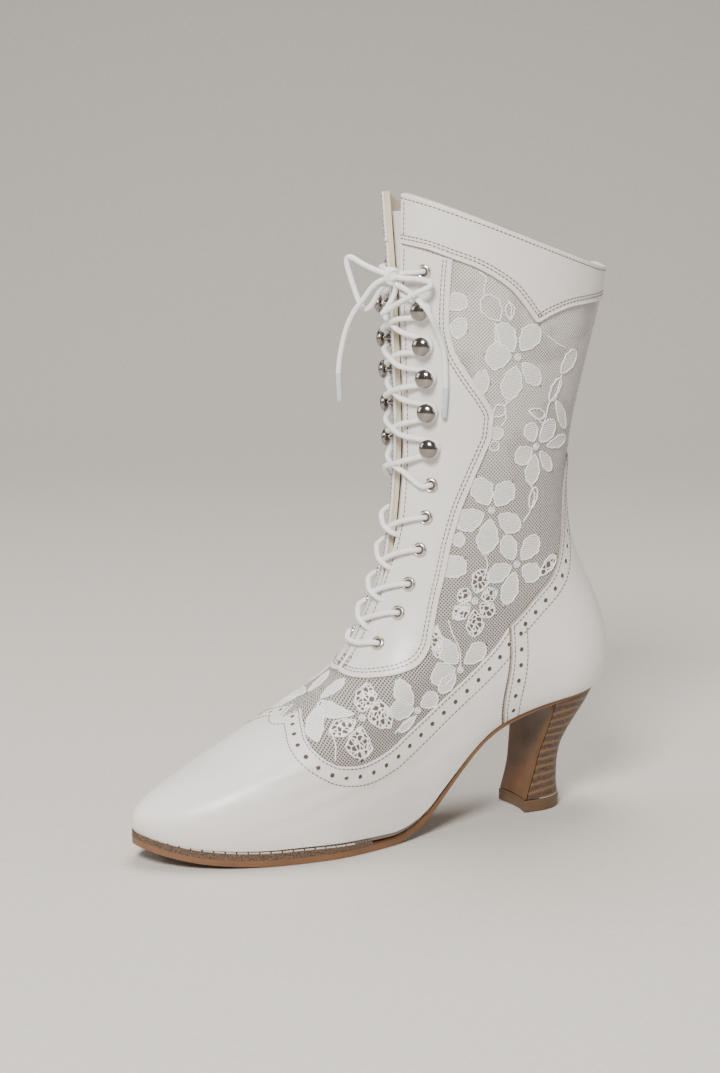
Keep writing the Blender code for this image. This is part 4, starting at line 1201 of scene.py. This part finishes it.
def make_sole():
    """Outsole, insole, and the welt with its long stitches."""
    bed("outsole_leather", whole_bed(lambda x: along(SOLE_REACH, x)), ground,
        lambda x, y: ground(x, y) + np.minimum(OUTSOLE_THICK, along(SOLE_THICK, x) - SOLE_GAP),
        "outsole", "tan_leather", "outsole")
    bed("insole_cloth", whole_bed(lambda x: 0 * x - WALL - INSOLE_GAP), seat,
        lambda x, y: seat(x, y) + INSOLE_THICK, "lining", "cream_textile", "insole")
    bed("welt_rand", bed_strip(WELT_INSIDE, WELT_REACH, WELT_END),
        lambda x, y: ground(x, y) + OUTSOLE_THICK, lambda x, y: seat(x, y) - CLOSE_GAP,
        "welt", "brown_rand", "welt")
    around = np.linspace(-WELT_SEAM_END, WELT_SEAM_END, 300)
    xy = plan(around, np.full(around.shape, WELT_SEAM_REACH))
    route = np.column_stack([xy, seat(xy[:, 0], xy[:, 1]) + 0.15])
    seam = stitches(route, WELT_STITCH_STEP, WELT_STITCH_LENGTH)
    keep(cord_piece("welt_stitches", seam, WELT_THREAD, 1), ["welt_stitch"], "brown_rand")


def heel_row(share):
    """The heel's sizes at a share of its height."""
    height = HEEL[0].height + (HEEL[-1].height - HEEL[0].height) * share
    return HeelRow(height, *(float(along([(r.height, r[k]) for r in HEEL], height)) for k in (1, 2, 3)))


def heel_height(x, y, share):
    """Where a share of the heel's height is, from its tread up to the sole above it."""
    start = HEEL_PIECE + HEEL_GAP
    return start + (ground(x, y) - CLOSE_GAP - start) * share


def heel_outline(row, grow=0.0, fronts=9):
    """The heel's outline: its hollow front, then its round back."""
    half = row.half + grow
    front = row.front - grow
    back = row.back + grow
    side = front + 0.3 * (back - front)
    breast = [(front + BREAST_HOLLOW * (1 - t * t), half * t) for t in np.linspace(1, -1, fronts)]
    arc = np.linspace(-math.pi / 2, math.pi / 2, 29)
    return breast + [(side + (back - side) * math.cos(a), half * math.sin(a)) for a in arc]


def closed_loft(bm, rings):
    """Joins a stack of outlines, lowest first, and closes both ends."""
    count = len(rings[0])
    bmesh.ops.create_grid(bm, x_segments=count, y_segments=len(rings) - 1, size=0.5)
    for vert in bm.verts:
        i = round((vert.co.x + 0.5) * count) % count
        k = round((vert.co.y + 0.5) * (len(rings) - 1))
        vert.co = rings[k][i]
    bmesh.ops.remove_doubles(bm, verts=bm.verts[:], dist=0.001)
    bmesh.ops.holes_fill(bm, edges=[edge for edge in bm.edges if edge.is_boundary], sides=0)
    bmesh.ops.recalc_face_normals(bm, faces=bm.faces[:])


def make_heel_stack():
    """The heel's layered block."""
    rings = []
    for share in np.linspace(0, 1, 30):
        outline = heel_outline(heel_row(share))
        rings.append([Vector((x, y, float(heel_height(x, y, share)))) for x, y in outline])
    bm = bmesh.new()
    closed_loft(bm, rings)
    soften(keep(mesh_piece(bm, "heel_stack"), ["stack"], "stacked_leather", "heel_block"), 0.3)


def make_heel_breast():
    """The polished cover on the heel's hollow front."""
    across = np.linspace(-1, 1, 17)
    shares = np.linspace(0, 1, 40)
    faces = []
    for forward in (HEEL_GAP, HEEL_GAP + BREAST_THICK):
        grid = np.zeros((len(across), len(shares), 3))
        for k, share in enumerate(shares):
            row = heel_row(share)
            x = row.front + BREAST_HOLLOW * (1 - across ** 2) - forward
            y = row.half * across
            grid[:, k] = np.column_stack([x, y, heel_height(x, y, share)])
        faces.append(grid)
    bm = bmesh.new()
    lay_sheet(bm, faces[1], faces[0])
    cover = mesh_piece(bm, "heel_breast_cover")
    soften(keep(cover, ["breast", "breast"], "polished_brown", "heel_breast"), 0.45)


def make_heel_tread():
    """The tread, and the fine pale line where the stack meets it."""
    foot = heel_row(0.0)
    height = HEEL_PIECE + HEEL_GAP + 0.1
    joint = [(x, y, height) for x, y in heel_outline(foot, 0.05, fronts=3)[3:]]
    keep(cord_piece("heel_joint_line", [joint], 0.32, 1), ["welt_stitch"], "stacked_leather")
    front = foot.front + BREAST_HOLLOW + 0.5
    outline = [(x - BREAST_THICK if x < front else x, y) for x, y in heel_outline(foot, 0.5)]
    bm = bmesh.new()
    closed_loft(bm, [[Vector((x, y, z)) for x, y in outline] for z in (0, 1.2, 3.6, HEEL_PIECE)])
    soften(keep(mesh_piece(bm, "heel_tread"), ["tread"], "brown_rubber", "top_piece"), 0.4)


# Eyelets, hooks and laces

def make_eyelets(word, side):
    """Turned eyelets, each with a dark disc in its hole as painted shade."""
    ring = [
        (EYELET_HOLE, -0.2), (EYELET_OUTER, -0.2), (EYELET_OUTER, 0.25), (EYELET_OUTER - 0.35, 0.72),
        (EYELET_OUTER - 0.85, 0.9), (EYELET_HOLE + 0.3, 0.72), (EYELET_HOLE, 0.3),
    ]
    bm = bmesh.new()
    dark = bmesh.new()
    for share, level in EYELETS:
        turn(bm, ring, 40, stand(side * share, level, RING_FOOT))
        # A dark disc under each ring: painted shade in the hole.
        bmesh.ops.create_circle(dark, cap_ends=True, radius=EYELET_HOLE + 0.1, segments=24,
                                matrix=stand(side * share, level, LEATHER_TOP + 0.12))
    names = [f"eyelet_{word}_{i + 1}" for i in range(len(EYELETS))]
    keep(mesh_piece(bm, f"eyelet_rings_{word}"), ["silver"], "silver_metal", *names)
    keep(mesh_piece(dark, f"eyelet_holes_{word}"), ["hole"], "white_leather")


def make_hooks(word, side):
    """Turned hooks, each a dome on a stem."""
    dome = [(0, HOOK_CLEAR)]
    for turned in np.linspace(-1.0, math.pi / 2, 16):
        high = 2.55 if turned > 0 else 1.6
        dome.append((HOOK_RADIUS * math.cos(turned), HOOK_CLEAR + 1.35 + high * math.sin(turned)))
    neck = HOOK_CLEAR + 0.6
    stem = [(0, 0), (2.6, 0), (2.5, 0.35), (HOOK_STEM, 0.7), (HOOK_STEM, neck), (0, neck)]
    bm = bmesh.new()
    for share, level in HOOK_ROWS:
        placing = stand(side * share, level, RING_FOOT - 0.3)
        turn(bm, dome, 36, placing, closed=False)
        turn(bm, stem, 20, placing, closed=False)
    names = [f"hook_{word}_{i + 1}" for i in range(len(HOOK_ROWS))]
    keep(mesh_piece(bm, f"hook_balls_{word}", 60), ["dark_metal"], "dark_nickel", *names)


def lace_point(share, level, extra=0.0):
    """A point of the lace's middle line as it lies over the eyelets, or extra above it."""
    return Vector(skin(share, level, LACE_LIFT + extra))


def beside_hook(side, share, level, angle):
    """A point of the lace round a hook's stem; angle 0 is its far side from the throat."""
    foot = Vector(skin(side * share, level, LACE_LIFT))
    normal = Vector(outward(side * share, level))
    above = Vector(last(side * share, level + 0.01)) - Vector(last(side * share, level - 0.01))
    above = (above - normal * above.dot(normal)).normalized()
    away = above.cross(normal) * -side
    turned = math.radians(angle)
    return foot + (away * math.cos(turned) + above * math.sin(turned)) * HOOK_WRAP


def out_of_eyelet(side, share, level):
    """The lace comes up through an eyelet and turns over its rim towards the throat."""
    return [lace_point(side * share, level, -3.2), lace_point(side * share * 0.97, level, -1.2),
            lace_point(side * share * 0.80, level, 0.1)]


def lace_piece(name, routes, node):
    """Round laces along smoothed routes, as one piece."""
    smooth = [smooth_route(route, LACE_SPACING) for route in routes]
    keep(cord_piece(name, smooth, LACE), ["cord"], "white_lace_cord", node)


def make_bar():
    """The lowest lace, straight across between the first two eyelets."""
    share, level = EYELET_ROWS[0]
    route = out_of_eyelet(-1, share, level)
    route += [lace_point(share * k, level - 0.05, 0.5) for k in (-0.4, 0, 0.4)]
    route += out_of_eyelet(1, share, level)[::-1]
    lace_piece("lace_bar", [route], "lace_bar_1")


def make_crossing(number):
    """The laces of one pair of eyelets, which cross and dive under the opposite facings."""
    share, level = EYELET_ROWS[number]
    drop = 0.33 * (level - EYELET_ROWS[number - 1][1])
    routes = []
    for side, over in ((-1, 0.3), (1, 1.7)):
        route = out_of_eyelet(side, share, level)
        route += [lace_point(side * share * k, level - drop * down, over + 0.4 * down)
                  for k, down in ((0.52, 0.22), (0.25, 0.6), (0.04, 1.0))]
        route.append(lace_point(-side * share * 0.22, level - drop * 1.45, over - 1.4))
        route.append(lace_point(-side * share * 0.36, level - drop * 1.7, -4.4))
        routes.append(route)
    lace_piece(f"lace_crossing_{number + 1}", routes, f"lace_cross_{number + 1}")


def make_hook_run():
    """The laces that cross from hook to hook up the shaft, then dive under the cuff."""
    routes = []
    for side, over in ((-1, 0.8), (1, 1.9)):
        share, level = EYELET_ROWS[-1]
        route = out_of_eyelet(side, share, level)
        for share, hook in HOOK_ROWS:
            middle = (level + hook) / 2
            route.append(lace_point(side * share * 0.42, middle - 0.1, over))
            route.append(lace_point(0, middle, over))
            side = -side
            route.append(lace_point(side * share * 0.42, middle + 0.1, over))
            route += [beside_hook(side, share, hook, angle) for angle in (-105, -55, -15, 15, 55, 105)]
            level = hook
        route.append(lace_point(side * share * 0.55, level + 0.18, 0.3))
        route.append(lace_point(side * share * 0.3, level + 0.24, -2.5))
        routes.append(route)
    lace_piece("lace_round_hooks", routes, "lace_hook_run")


def make_top_strands():
    """The strands from the top eyelets to the knot."""
    for side, strand in zip((-1, 1), TOP_STRANDS):
        route = out_of_eyelet(side, *TOP_EYELET)[:2] + [Vector(p) for p in strand.points]
        lace_piece(strand.name + "_cord", [route], strand.name)


def make_tip(tip):
    """A lace's tip, turned along its own line."""
    start, end = (Vector(point) for point in tip.points)
    run = end - start
    long = run.length
    profile = [
        (0, -0.4), (1.30, -0.4), (1.44, 0.2),
        (1.42, long - 1.4), (1.15, long - 0.4), (0.5, long), (0, long),
    ]
    bm = bmesh.new()
    turn(bm, profile, 24, upright(start, run), closed=False)
    return keep(mesh_piece(bm, tip.name + "_tip", 60), ["aglet"], "pale_plastic", tip.name)


def make_knot():
    """The knot's heart and the two turns of lace round it."""
    centre = Vector(KNOT_CENTRE)
    bm = bmesh.new()
    bmesh.ops.create_uvsphere(bm, u_segments=32, v_segments=20, radius=1)
    bmesh.ops.scale(bm, vec=Vector(KNOT_SIZE) * 0.93, verts=bm.verts[:])
    bmesh.ops.translate(bm, vec=centre, verts=bm.verts[:])
    keep(mesh_piece(bm, "bow_knot_heart", 60), ["cord"], "white_lace_cord", "bow_knot")
    wide, _, high = KNOT_SIZE
    wraps = []
    for tilt in (-0.5, 0.45):
        wraps.append([
            centre + Vector((wide * math.cos(a), tilt * (1.3 + 2.2 * math.sin(a)), high * math.sin(a)))
            for a in np.linspace(0, 2 * math.pi, 29)[:-1]
        ])
    keep(cord_piece("bow_knot_wraps", wraps, LACE * 0.85, closed=True), ["cord"], "white_lace_cord")


def make_bow():
    """The tied bow: two loops and two ends with their tips, and the knot."""
    tips = {tip.name: make_tip(tip) for tip in AGLETS}
    for cord in BOW:
        route = relaxed(smooth_route(cord.points, 0.6), 1.1)
        obj = keep(cord_piece(cord.name + "_cord", [route], LACE), ["cord"], "white_lace_cord", cord.name)
    make_knot()


# Lace flowers and seams

def petal_chart(petal, side, columns=19, rows=9):
    """Shares and levels over one petal, from its root to its tip."""
    root = np.array([petal.root * side, petal.root_level])
    tip = np.array([petal.tip * side, petal.tip_level])
    middle = (root + tip) / 2
    sideways, upward = slopes_at(middle[0], middle[1])
    run = sideways * (tip[0] - root[0]) + upward * (tip[1] - root[1])
    across = np.cross(run, np.cross(upward, sideways))
    across = across / np.linalg.norm(across)
    turned = np.linalg.lstsq(np.column_stack([sideways, upward]), across, rcond=None)[0]
    t = np.linspace(0, 1, columns)[:, None]
    s = np.linspace(-1, 1, rows)[None, :]
    # A blunt petal with a wavy rim, notched at its tip and drawn in at its root
    waves = 1 + 0.07 * np.sin(19 * t + 7 * petal.root)
    half = np.sin(np.pi * t ** 1.2) ** 0.62 * waves * petal.width / 2 * 1.08
    pinch = 0.06 * np.cos(3 * np.pi * s) * t * t * t + 0.05 * s * s * (1 - t)
    return (root[0] + (tip[0] - root[0]) * (t + pinch) + turned[0] * s * half,
            root[1] + (tip[1] - root[1]) * (t + pinch) + turned[1] * s * half)


def make_petals(word, side):
    """Petals and leaves of the lace, each with its cord outline."""
    kinds = {"s": ("satin", bmesh.new()), "c": ("cells", bmesh.new())}
    outlines = []
    for petal in map(Petal._make, PETALS):
        around, level = petal_chart(petal, side)
        level = np.clip(level, 0.3, TOP - 0.2)
        around = side * np.maximum(side * around, 0.02)
        rim = [np.concatenate([grid[:, -1], grid[-2:0:-1, 0]]) for grid in (around, level)]
        outlines.append(skin(*rim, LACE_TOP + 0.22))
        if petal.kind in kinds:
            outer = skin(around, level, LACE_TOP + 0.26)
            lay_sheet(kinds[petal.kind][1], outer, skin(around, level, LACE_TOP - 0.1))
    for look, bm in kinds.values():
        bmesh.ops.remove_doubles(bm, verts=bm.verts[:], dist=0.004)
        keep(mesh_piece(bm, f"lace_{look}_petals_{word}"), [look, look], "upper_lining_and_lace")
    cords = cord_piece(f"lace_outlines_{word}", outlines, PETAL_CORD, 1, closed=True)
    keep(cords, ["motif"], "upper_lining_and_lace")


def make_stems(word, side):
    """Stems between the flowers, and two small rings at the heart of each."""
    stems = []
    for stem in STEMS:
        t = np.linspace(0, len(stem) - 1, 26)
        stems.append(skin(side * column_of(stem, 0, t), column_of(stem, 1, t), LACE_TOP + 0.2))
    for share, level in FLOWER_HEARTS:
        placing = stand(side * share, level, LACE_TOP + 0.25)
        for radius, lift, count in ((1.5, 0, 16), (0.6, 0.1, 10)):
            stems.append([placing @ Vector((radius * math.cos(a), radius * math.sin(a), lift))
                          for a in np.linspace(0, 6.3, count)])
    keep(cord_piece(f"lace_stems_{word}", stems, STEM_CORD, 1), ["motif"], "upper_lining_and_lace")


def leather_lines():
    """Rows of stitches: shares and levels of a line, the distance from it, and the lift."""
    throat = np.linspace(7.2, 15.22, 300)
    facing = facing_edge()
    vamp = vamp_edge(np.linspace(0, len(VAMP) - 1, 320))
    counter = counter_line()
    cuff = cuff_line(300)
    rim = np.full(300, TOP)
    rim_share = cuff_share(np.linspace(CUFF_EDGE[0][0], 1, 300), rim)
    cuff_front = np.linspace(15.4, 15.9, 30)
    bridge = np.linspace(0.060, 0.0, 20)
    corner = np.linspace(0, 4, 41)
    tack = (
        np.interp(corner, range(5), (0.016, 0.016, 0.036, 0.036, 0.016)),
        np.interp(corner, range(5), (7.2, 7.5, 7.5, 7.2, 7.2)),
    )
    return (
        (throat_share(throat), throat, 2.3, LEATHER_TOP),
        (*facing, -2.3, LEATHER_TOP),
        (*facing, -4.0, LEATHER_TOP),
        (*vamp, 1.3, LEATHER_TOP),
        (*vamp, 9.3, LEATHER_TOP),
        (*tack, 0.0, LEATHER_TOP),
        (bridge, 5.17 + 0.09 * (bridge / 0.06) ** 2, 0.0, LEATHER_TOP),
        (*counter, 1.6, RAISED_TOP),
        (*counter, 8.8, RAISED_TOP),
        (*cuff, -1.9, RAISED_TOP),
        (*cuff, -3.5, RAISED_TOP),
        (rim_share, rim, 2.0, RAISED_TOP),
        (throat_share(cuff_front), cuff_front, 2.2, RAISED_TOP),
    )


def make_seams(word, side, step, length):
    """The stitches on the leather and down the back strip."""
    rows = []
    for share, level, away, lift in leather_lines():
        edge = skin(share * side, level, lift)
        around, level = beside_route(share * side, level, away * side)
        row = stitches(skin(around, level, lift + 0.04 - crease_depth(around, level)), step, length)
        good = clear_of(np.array([(a + b) / 2 for a, b in row]), edge, away)
        rows += [stitch for stitch, kept in zip(row, good) if kept]
    for share in STRIP_SEAMS:
        level = np.linspace(*STRIP_SEAM_LEVELS, 120)
        rows += stitches(skin(side * share, level, LACE_TOP + 0.5), step, length)
    keep(cord_piece(f"seam_stitches_{word}", rows, SEAM_THREAD, 0), ["stitch"], "white_leather")


def make_edges(word, side):
    """The leather's piped edges, and its folded ones in taupe, which is painted shade along their ridges
    and under the cuff's edge.
    """
    levels = np.linspace(7.12, 15.25, 160)
    facing, facing_level = facing_edge()
    cuff, cuff_level = cuff_line(220)
    counter, counter_level = counter_line()
    # A taupe line just under the cuff's edge: painted shadow of the cuff.
    below = beside_route(side * cuff, cuff_level, 0.75 * side)
    piped = (
        skin(side * facing, facing_level, LEATHER_TOP - 0.35),
        skin(side * cuff, cuff_level, LEATHER_TOP - 0.1),
        skin(side * throat_share(levels), levels, LEATHER_TOP - 0.55),
    )
    folded = (
        skin(side * counter, counter_level, LEATHER_TOP - 0.15),
        skin(*below, LACE_TOP + 0.25),
    )
    kinds = (("piped", piped, PIPING, "leather"), ("folded", folded, FOLD, "edge"))
    for name, lines, diameter, look in kinds:
        routes = [even_route(line, 1.2) for line in lines]
        keep(cord_piece(f"{name}_edges_{word}", routes, diameter, 2), [look], "white_leather")


def make_perforations(word, side, step):
    """Rows of punched holes along the vamp and the counter, each with a raised rim and a dark disc of
    painted shade.
    """
    rim = [(1.16, -0.05), (1.52, -0.05), (1.44, 0.15), (1.22, 0.15)]
    bm = bmesh.new()
    dark = bmesh.new()
    vamp = vamp_edge(np.linspace(0.2, len(VAMP) - 1.1, 320))
    for (share, level), lift in ((vamp, LEATHER_TOP), (counter_line(0.06, 2.4), RAISED_TOP)):
        edge = skin(share * side, level, lift)
        around, level = beside_route(share * side, level, HOLE_AWAY * side)
        places = skin(around, level, lift - crease_depth(around, level))
        good = clear_of(places, edge, HOLE_AWAY)
        around, level = around[good], level[good]
        lengths = run_lengths(places[good])
        for mark in np.arange(step / 2, lengths[-1], step):
            spot = float(np.interp(mark, lengths, around))
            height = float(np.interp(mark, lengths, level))
            top = lift - float(crease_depth(spot, height))
            turn(bm, rim, 12, stand(spot, height, top))
            # A dark disc in each hole: painted shade.
            bmesh.ops.create_circle(dark, cap_ends=True, radius=HOLE_RADIUS, segments=16,
                                    matrix=stand(spot, height, top + 0.05))
    keep(mesh_piece(bm, f"perforation_rims_{word}"), ["leather"], "white_leather")
    keep(mesh_piece(dark, f"perforation_holes_{word}"), ["hole"], "white_leather")


# Camera and stage

def make_camera(lens):
    """The camera, where the photograph was taken from."""
    data = bpy.data.cameras.new("photo_camera")
    data.lens = lens
    data.sensor_width = SENSOR
    camera = bpy.data.objects.new("photo_camera", data)
    bpy.context.scene.collection.objects.link(camera)
    back = Vector(PHOTO_BACK).normalized()
    camera.location = Vector(PHOTO_AIM) + back * PHOTO_DISTANCE
    camera.rotation_mode = "QUATERNION"
    camera.rotation_quaternion = (-back).to_track_quat("-Z", "Y")
    bpy.context.scene.camera = camera


def make_floor():
    """A pale floor that bends up far behind the boot."""
    bm = bmesh.new()
    bmesh.ops.create_grid(bm, x_segments=1, y_segments=60, size=FLOOR_HALF)
    for vert in bm.verts:
        vert.co.z = max(0.0, vert.co.y - FLOOR_FLAT) ** 2 / FLOOR_BEND - FLOOR_DROP
    turned = Matrix.Rotation(FLOOR_TURN, 3, "Z")
    bmesh.ops.rotate(bm, cent=(0, 0, 0), matrix=turned, verts=bm.verts[:])
    floor = mesh_piece(bm, "studio_floor", 180)
    bpy.context.scene.collection.objects.link(floor)
    floor.data.materials.append(paint("floor"))


def make_lights():
    """Soft square lights that all face the boot's middle, and a faint pale surround."""
    for number, lamp in enumerate(LAMPS, 1):
        data = bpy.data.lights.new(f"soft_light_{number}", "AREA")
        data.energy = lamp.power
        data.size = lamp.size
        data.color = LAMP_COLOUR
        light = bpy.data.objects.new(f"soft_light_{number}", data)
        light.location = lamp.place
        aim = Vector(LAMP_AIM) - Vector(lamp.place)
        light.rotation_euler = aim.to_track_quat("-Z", "Y").to_euler()
        bpy.context.scene.collection.objects.link(light)
    world = bpy.data.worlds.new("studio")
    world.use_nodes = True
    background = world.node_tree.nodes["Background"]
    background.inputs["Color"].default_value = (*WORLD_COLOUR, 1)
    background.inputs["Strength"].default_value = WORLD_STRENGTH
    bpy.context.scene.world = world


# The add-on

class BootSettings(bpy.types.PropertyGroup):
    """The boot's sizes and colours that can be changed."""

    stitch_step: FloatProperty(name="Stitch step", description="From one stitch to the next on the leather",
                               default=0.0023, min=0.001, max=0.008, subtype="DISTANCE", unit="LENGTH")
    stitch_length: FloatProperty(name="Stitch length", description="Length of one stitch on the leather",
                                 default=0.00155, min=0.0005, max=0.006, subtype="DISTANCE", unit="LENGTH")
    hole_step: FloatProperty(name="Hole step", description="From one punched hole to the next",
                             default=0.008, min=0.003, max=0.02, subtype="DISTANCE", unit="LENGTH")
    net_pitch: FloatProperty(name="Net pitch", description="From one hole of the net to the next",
                             default=0.0018, min=0.001, max=0.006, subtype="DISTANCE", unit="LENGTH")
    leather_colour: FloatVectorProperty(name="Leather", description="Colour of the white leather",
                                        default=(0.755, 0.722, 0.690), size=3, min=0, max=1,
                                        subtype="COLOR")
    thread_colour: FloatVectorProperty(name="Thread", description="Colour of the stitching on the leather",
                                       default=(0.175, 0.14, 0.11), size=3, min=0, max=1,
                                       subtype="COLOR")
    outsole_colour: FloatVectorProperty(name="Outsole", description="Colour of the outsole",
                                        default=(0.180, 0.084, 0.036), size=3, min=0, max=1,
                                        subtype="COLOR")
    breast_colour: FloatVectorProperty(name="Heel breast", description="Colour of the heel's front",
                                       default=(0.140, 0.058, 0.016), size=3, min=0, max=1,
                                       subtype="COLOR")
    lens: FloatProperty(name="Lens", description="Focal length of the photograph's view",
                        default=84.7, min=20.0, max=200.0, subtype="DISTANCE_CAMERA", unit="CAMERA")


class BOOT_OT_camera(bpy.types.Operator):
    """Puts the camera where the photograph was taken from"""

    bl_idname = "boot.camera"
    bl_label = "Camera"

    def execute(self, context):
        make_camera(context.scene.boot.lens)
        return {"FINISHED"}


class BOOT_OT_bow(bpy.types.Operator):
    """Ties the bow"""

    bl_idname = "boot.bow"
    bl_label = "Bow"

    def execute(self, context):
        make_bow()
        return {"FINISHED"}


class BOOT_OT_panel(bpy.types.Operator):
    """Makes the lace upper with its lining and tongue"""

    bl_idname = "boot.panel"
    bl_label = "Lace upper"

    def execute(self, context):
        make_panel()
        make_rear_strip()
        make_tongue()
        return {"FINISHED"}


class BOOT_OT_leather(bpy.types.Operator):
    """Lays the white leather pieces over the upper"""

    bl_idname = "boot.leather"
    bl_label = "Leather"

    def execute(self, context):
        make_vamp()
        make_counter()
        make_cuff()
        for word, side in SIDES:
            make_facing(word, side)
        return {"FINISHED"}


class BOOT_OT_motifs(bpy.types.Operator):
    """Raises the lace flowers on the net"""

    bl_idname = "boot.motifs"
    bl_label = "Lace flowers"

    def execute(self, context):
        for word, side in SIDES:
            make_petals(word, side)
            make_stems(word, side)
        return {"FINISHED"}


class BOOT_OT_seams(bpy.types.Operator):
    """Sews the seams and pipes the edges"""

    bl_idname = "boot.seams"
    bl_label = "Seams"

    def execute(self, context):
        sizes = context.scene.boot
        for word, side in SIDES:
            make_seams(word, side, sizes.stitch_step / MM, sizes.stitch_length / MM)
            make_edges(word, side)
        return {"FINISHED"}


class BOOT_OT_perforations(bpy.types.Operator):
    """Punches the rows of small holes"""

    bl_idname = "boot.perforations"
    bl_label = "Punched holes"

    def execute(self, context):
        for word, side in SIDES:
            make_perforations(word, side, context.scene.boot.hole_step / MM)
        return {"FINISHED"}


class BOOT_OT_sole(bpy.types.Operator):
    """Makes the outsole, the welt and the insole"""

    bl_idname = "boot.sole"
    bl_label = "Sole"

    def execute(self, context):
        make_sole()
        return {"FINISHED"}


class BOOT_OT_heel(bpy.types.Operator):
    """Makes the spool heel"""

    bl_idname = "boot.heel"
    bl_label = "Heel"

    def execute(self, context):
        make_heel_stack()
        make_heel_breast()
        make_heel_tread()
        return {"FINISHED"}


class BOOT_OT_hardware(bpy.types.Operator):
    """Sets the eyelets and hooks"""

    bl_idname = "boot.hardware"
    bl_label = "Eyelets and hooks"

    def execute(self, context):
        for word, side in SIDES:
            make_eyelets(word, side)
            make_hooks(word, side)
        return {"FINISHED"}


class BOOT_OT_lacing(bpy.types.Operator):
    """Runs the lace through the eyelets and round the hooks"""

    bl_idname = "boot.lacing"
    bl_label = "Lacing"

    def execute(self, context):
        make_bar()
        for number in range(1, 5):
            make_crossing(number)
        make_hook_run()
        make_top_strands()
        return {"FINISHED"}


class BOOT_OT_stage(bpy.types.Operator):
    """Sets the pale floor and the soft lights"""

    bl_idname = "boot.stage"
    bl_label = "Stage"

    def execute(self, context):
        make_floor()
        make_lights()
        return {"FINISHED"}


OPERATORS = (
    BOOT_OT_camera, BOOT_OT_bow, BOOT_OT_lacing, BOOT_OT_panel, BOOT_OT_leather, BOOT_OT_motifs,
    BOOT_OT_seams, BOOT_OT_perforations, BOOT_OT_sole, BOOT_OT_heel, BOOT_OT_hardware, BOOT_OT_stage,
)


class BOOT_PT_panel(bpy.types.Panel):
    """Lists the boot's pieces and its settings"""

    bl_idname = "BOOT_PT_panel"
    bl_label = "Boot"
    bl_space_type = "VIEW_3D"
    bl_region_type = "UI"
    bl_category = "Boot"

    def draw(self, context):
        for name in BootSettings.__annotations__:
            self.layout.prop(context.scene.boot, name)
        for operator in OPERATORS:
            self.layout.operator(operator.bl_idname)


def register():
    for cls in (BootSettings, *OPERATORS, BOOT_PT_panel):
        bpy.utils.register_class(cls)
    bpy.types.Scene.boot = PointerProperty(type=BootSettings)


def unregister():
    del bpy.types.Scene.boot
    for cls in (BOOT_PT_panel, *reversed(OPERATORS), BootSettings):
        bpy.utils.unregister_class(cls)


def main():
    register()
    for operator in OPERATORS:
        group, name = operator.bl_idname.split(".")
        getattr(getattr(bpy.ops, group), name)()


if __name__ == "__main__":
    main()
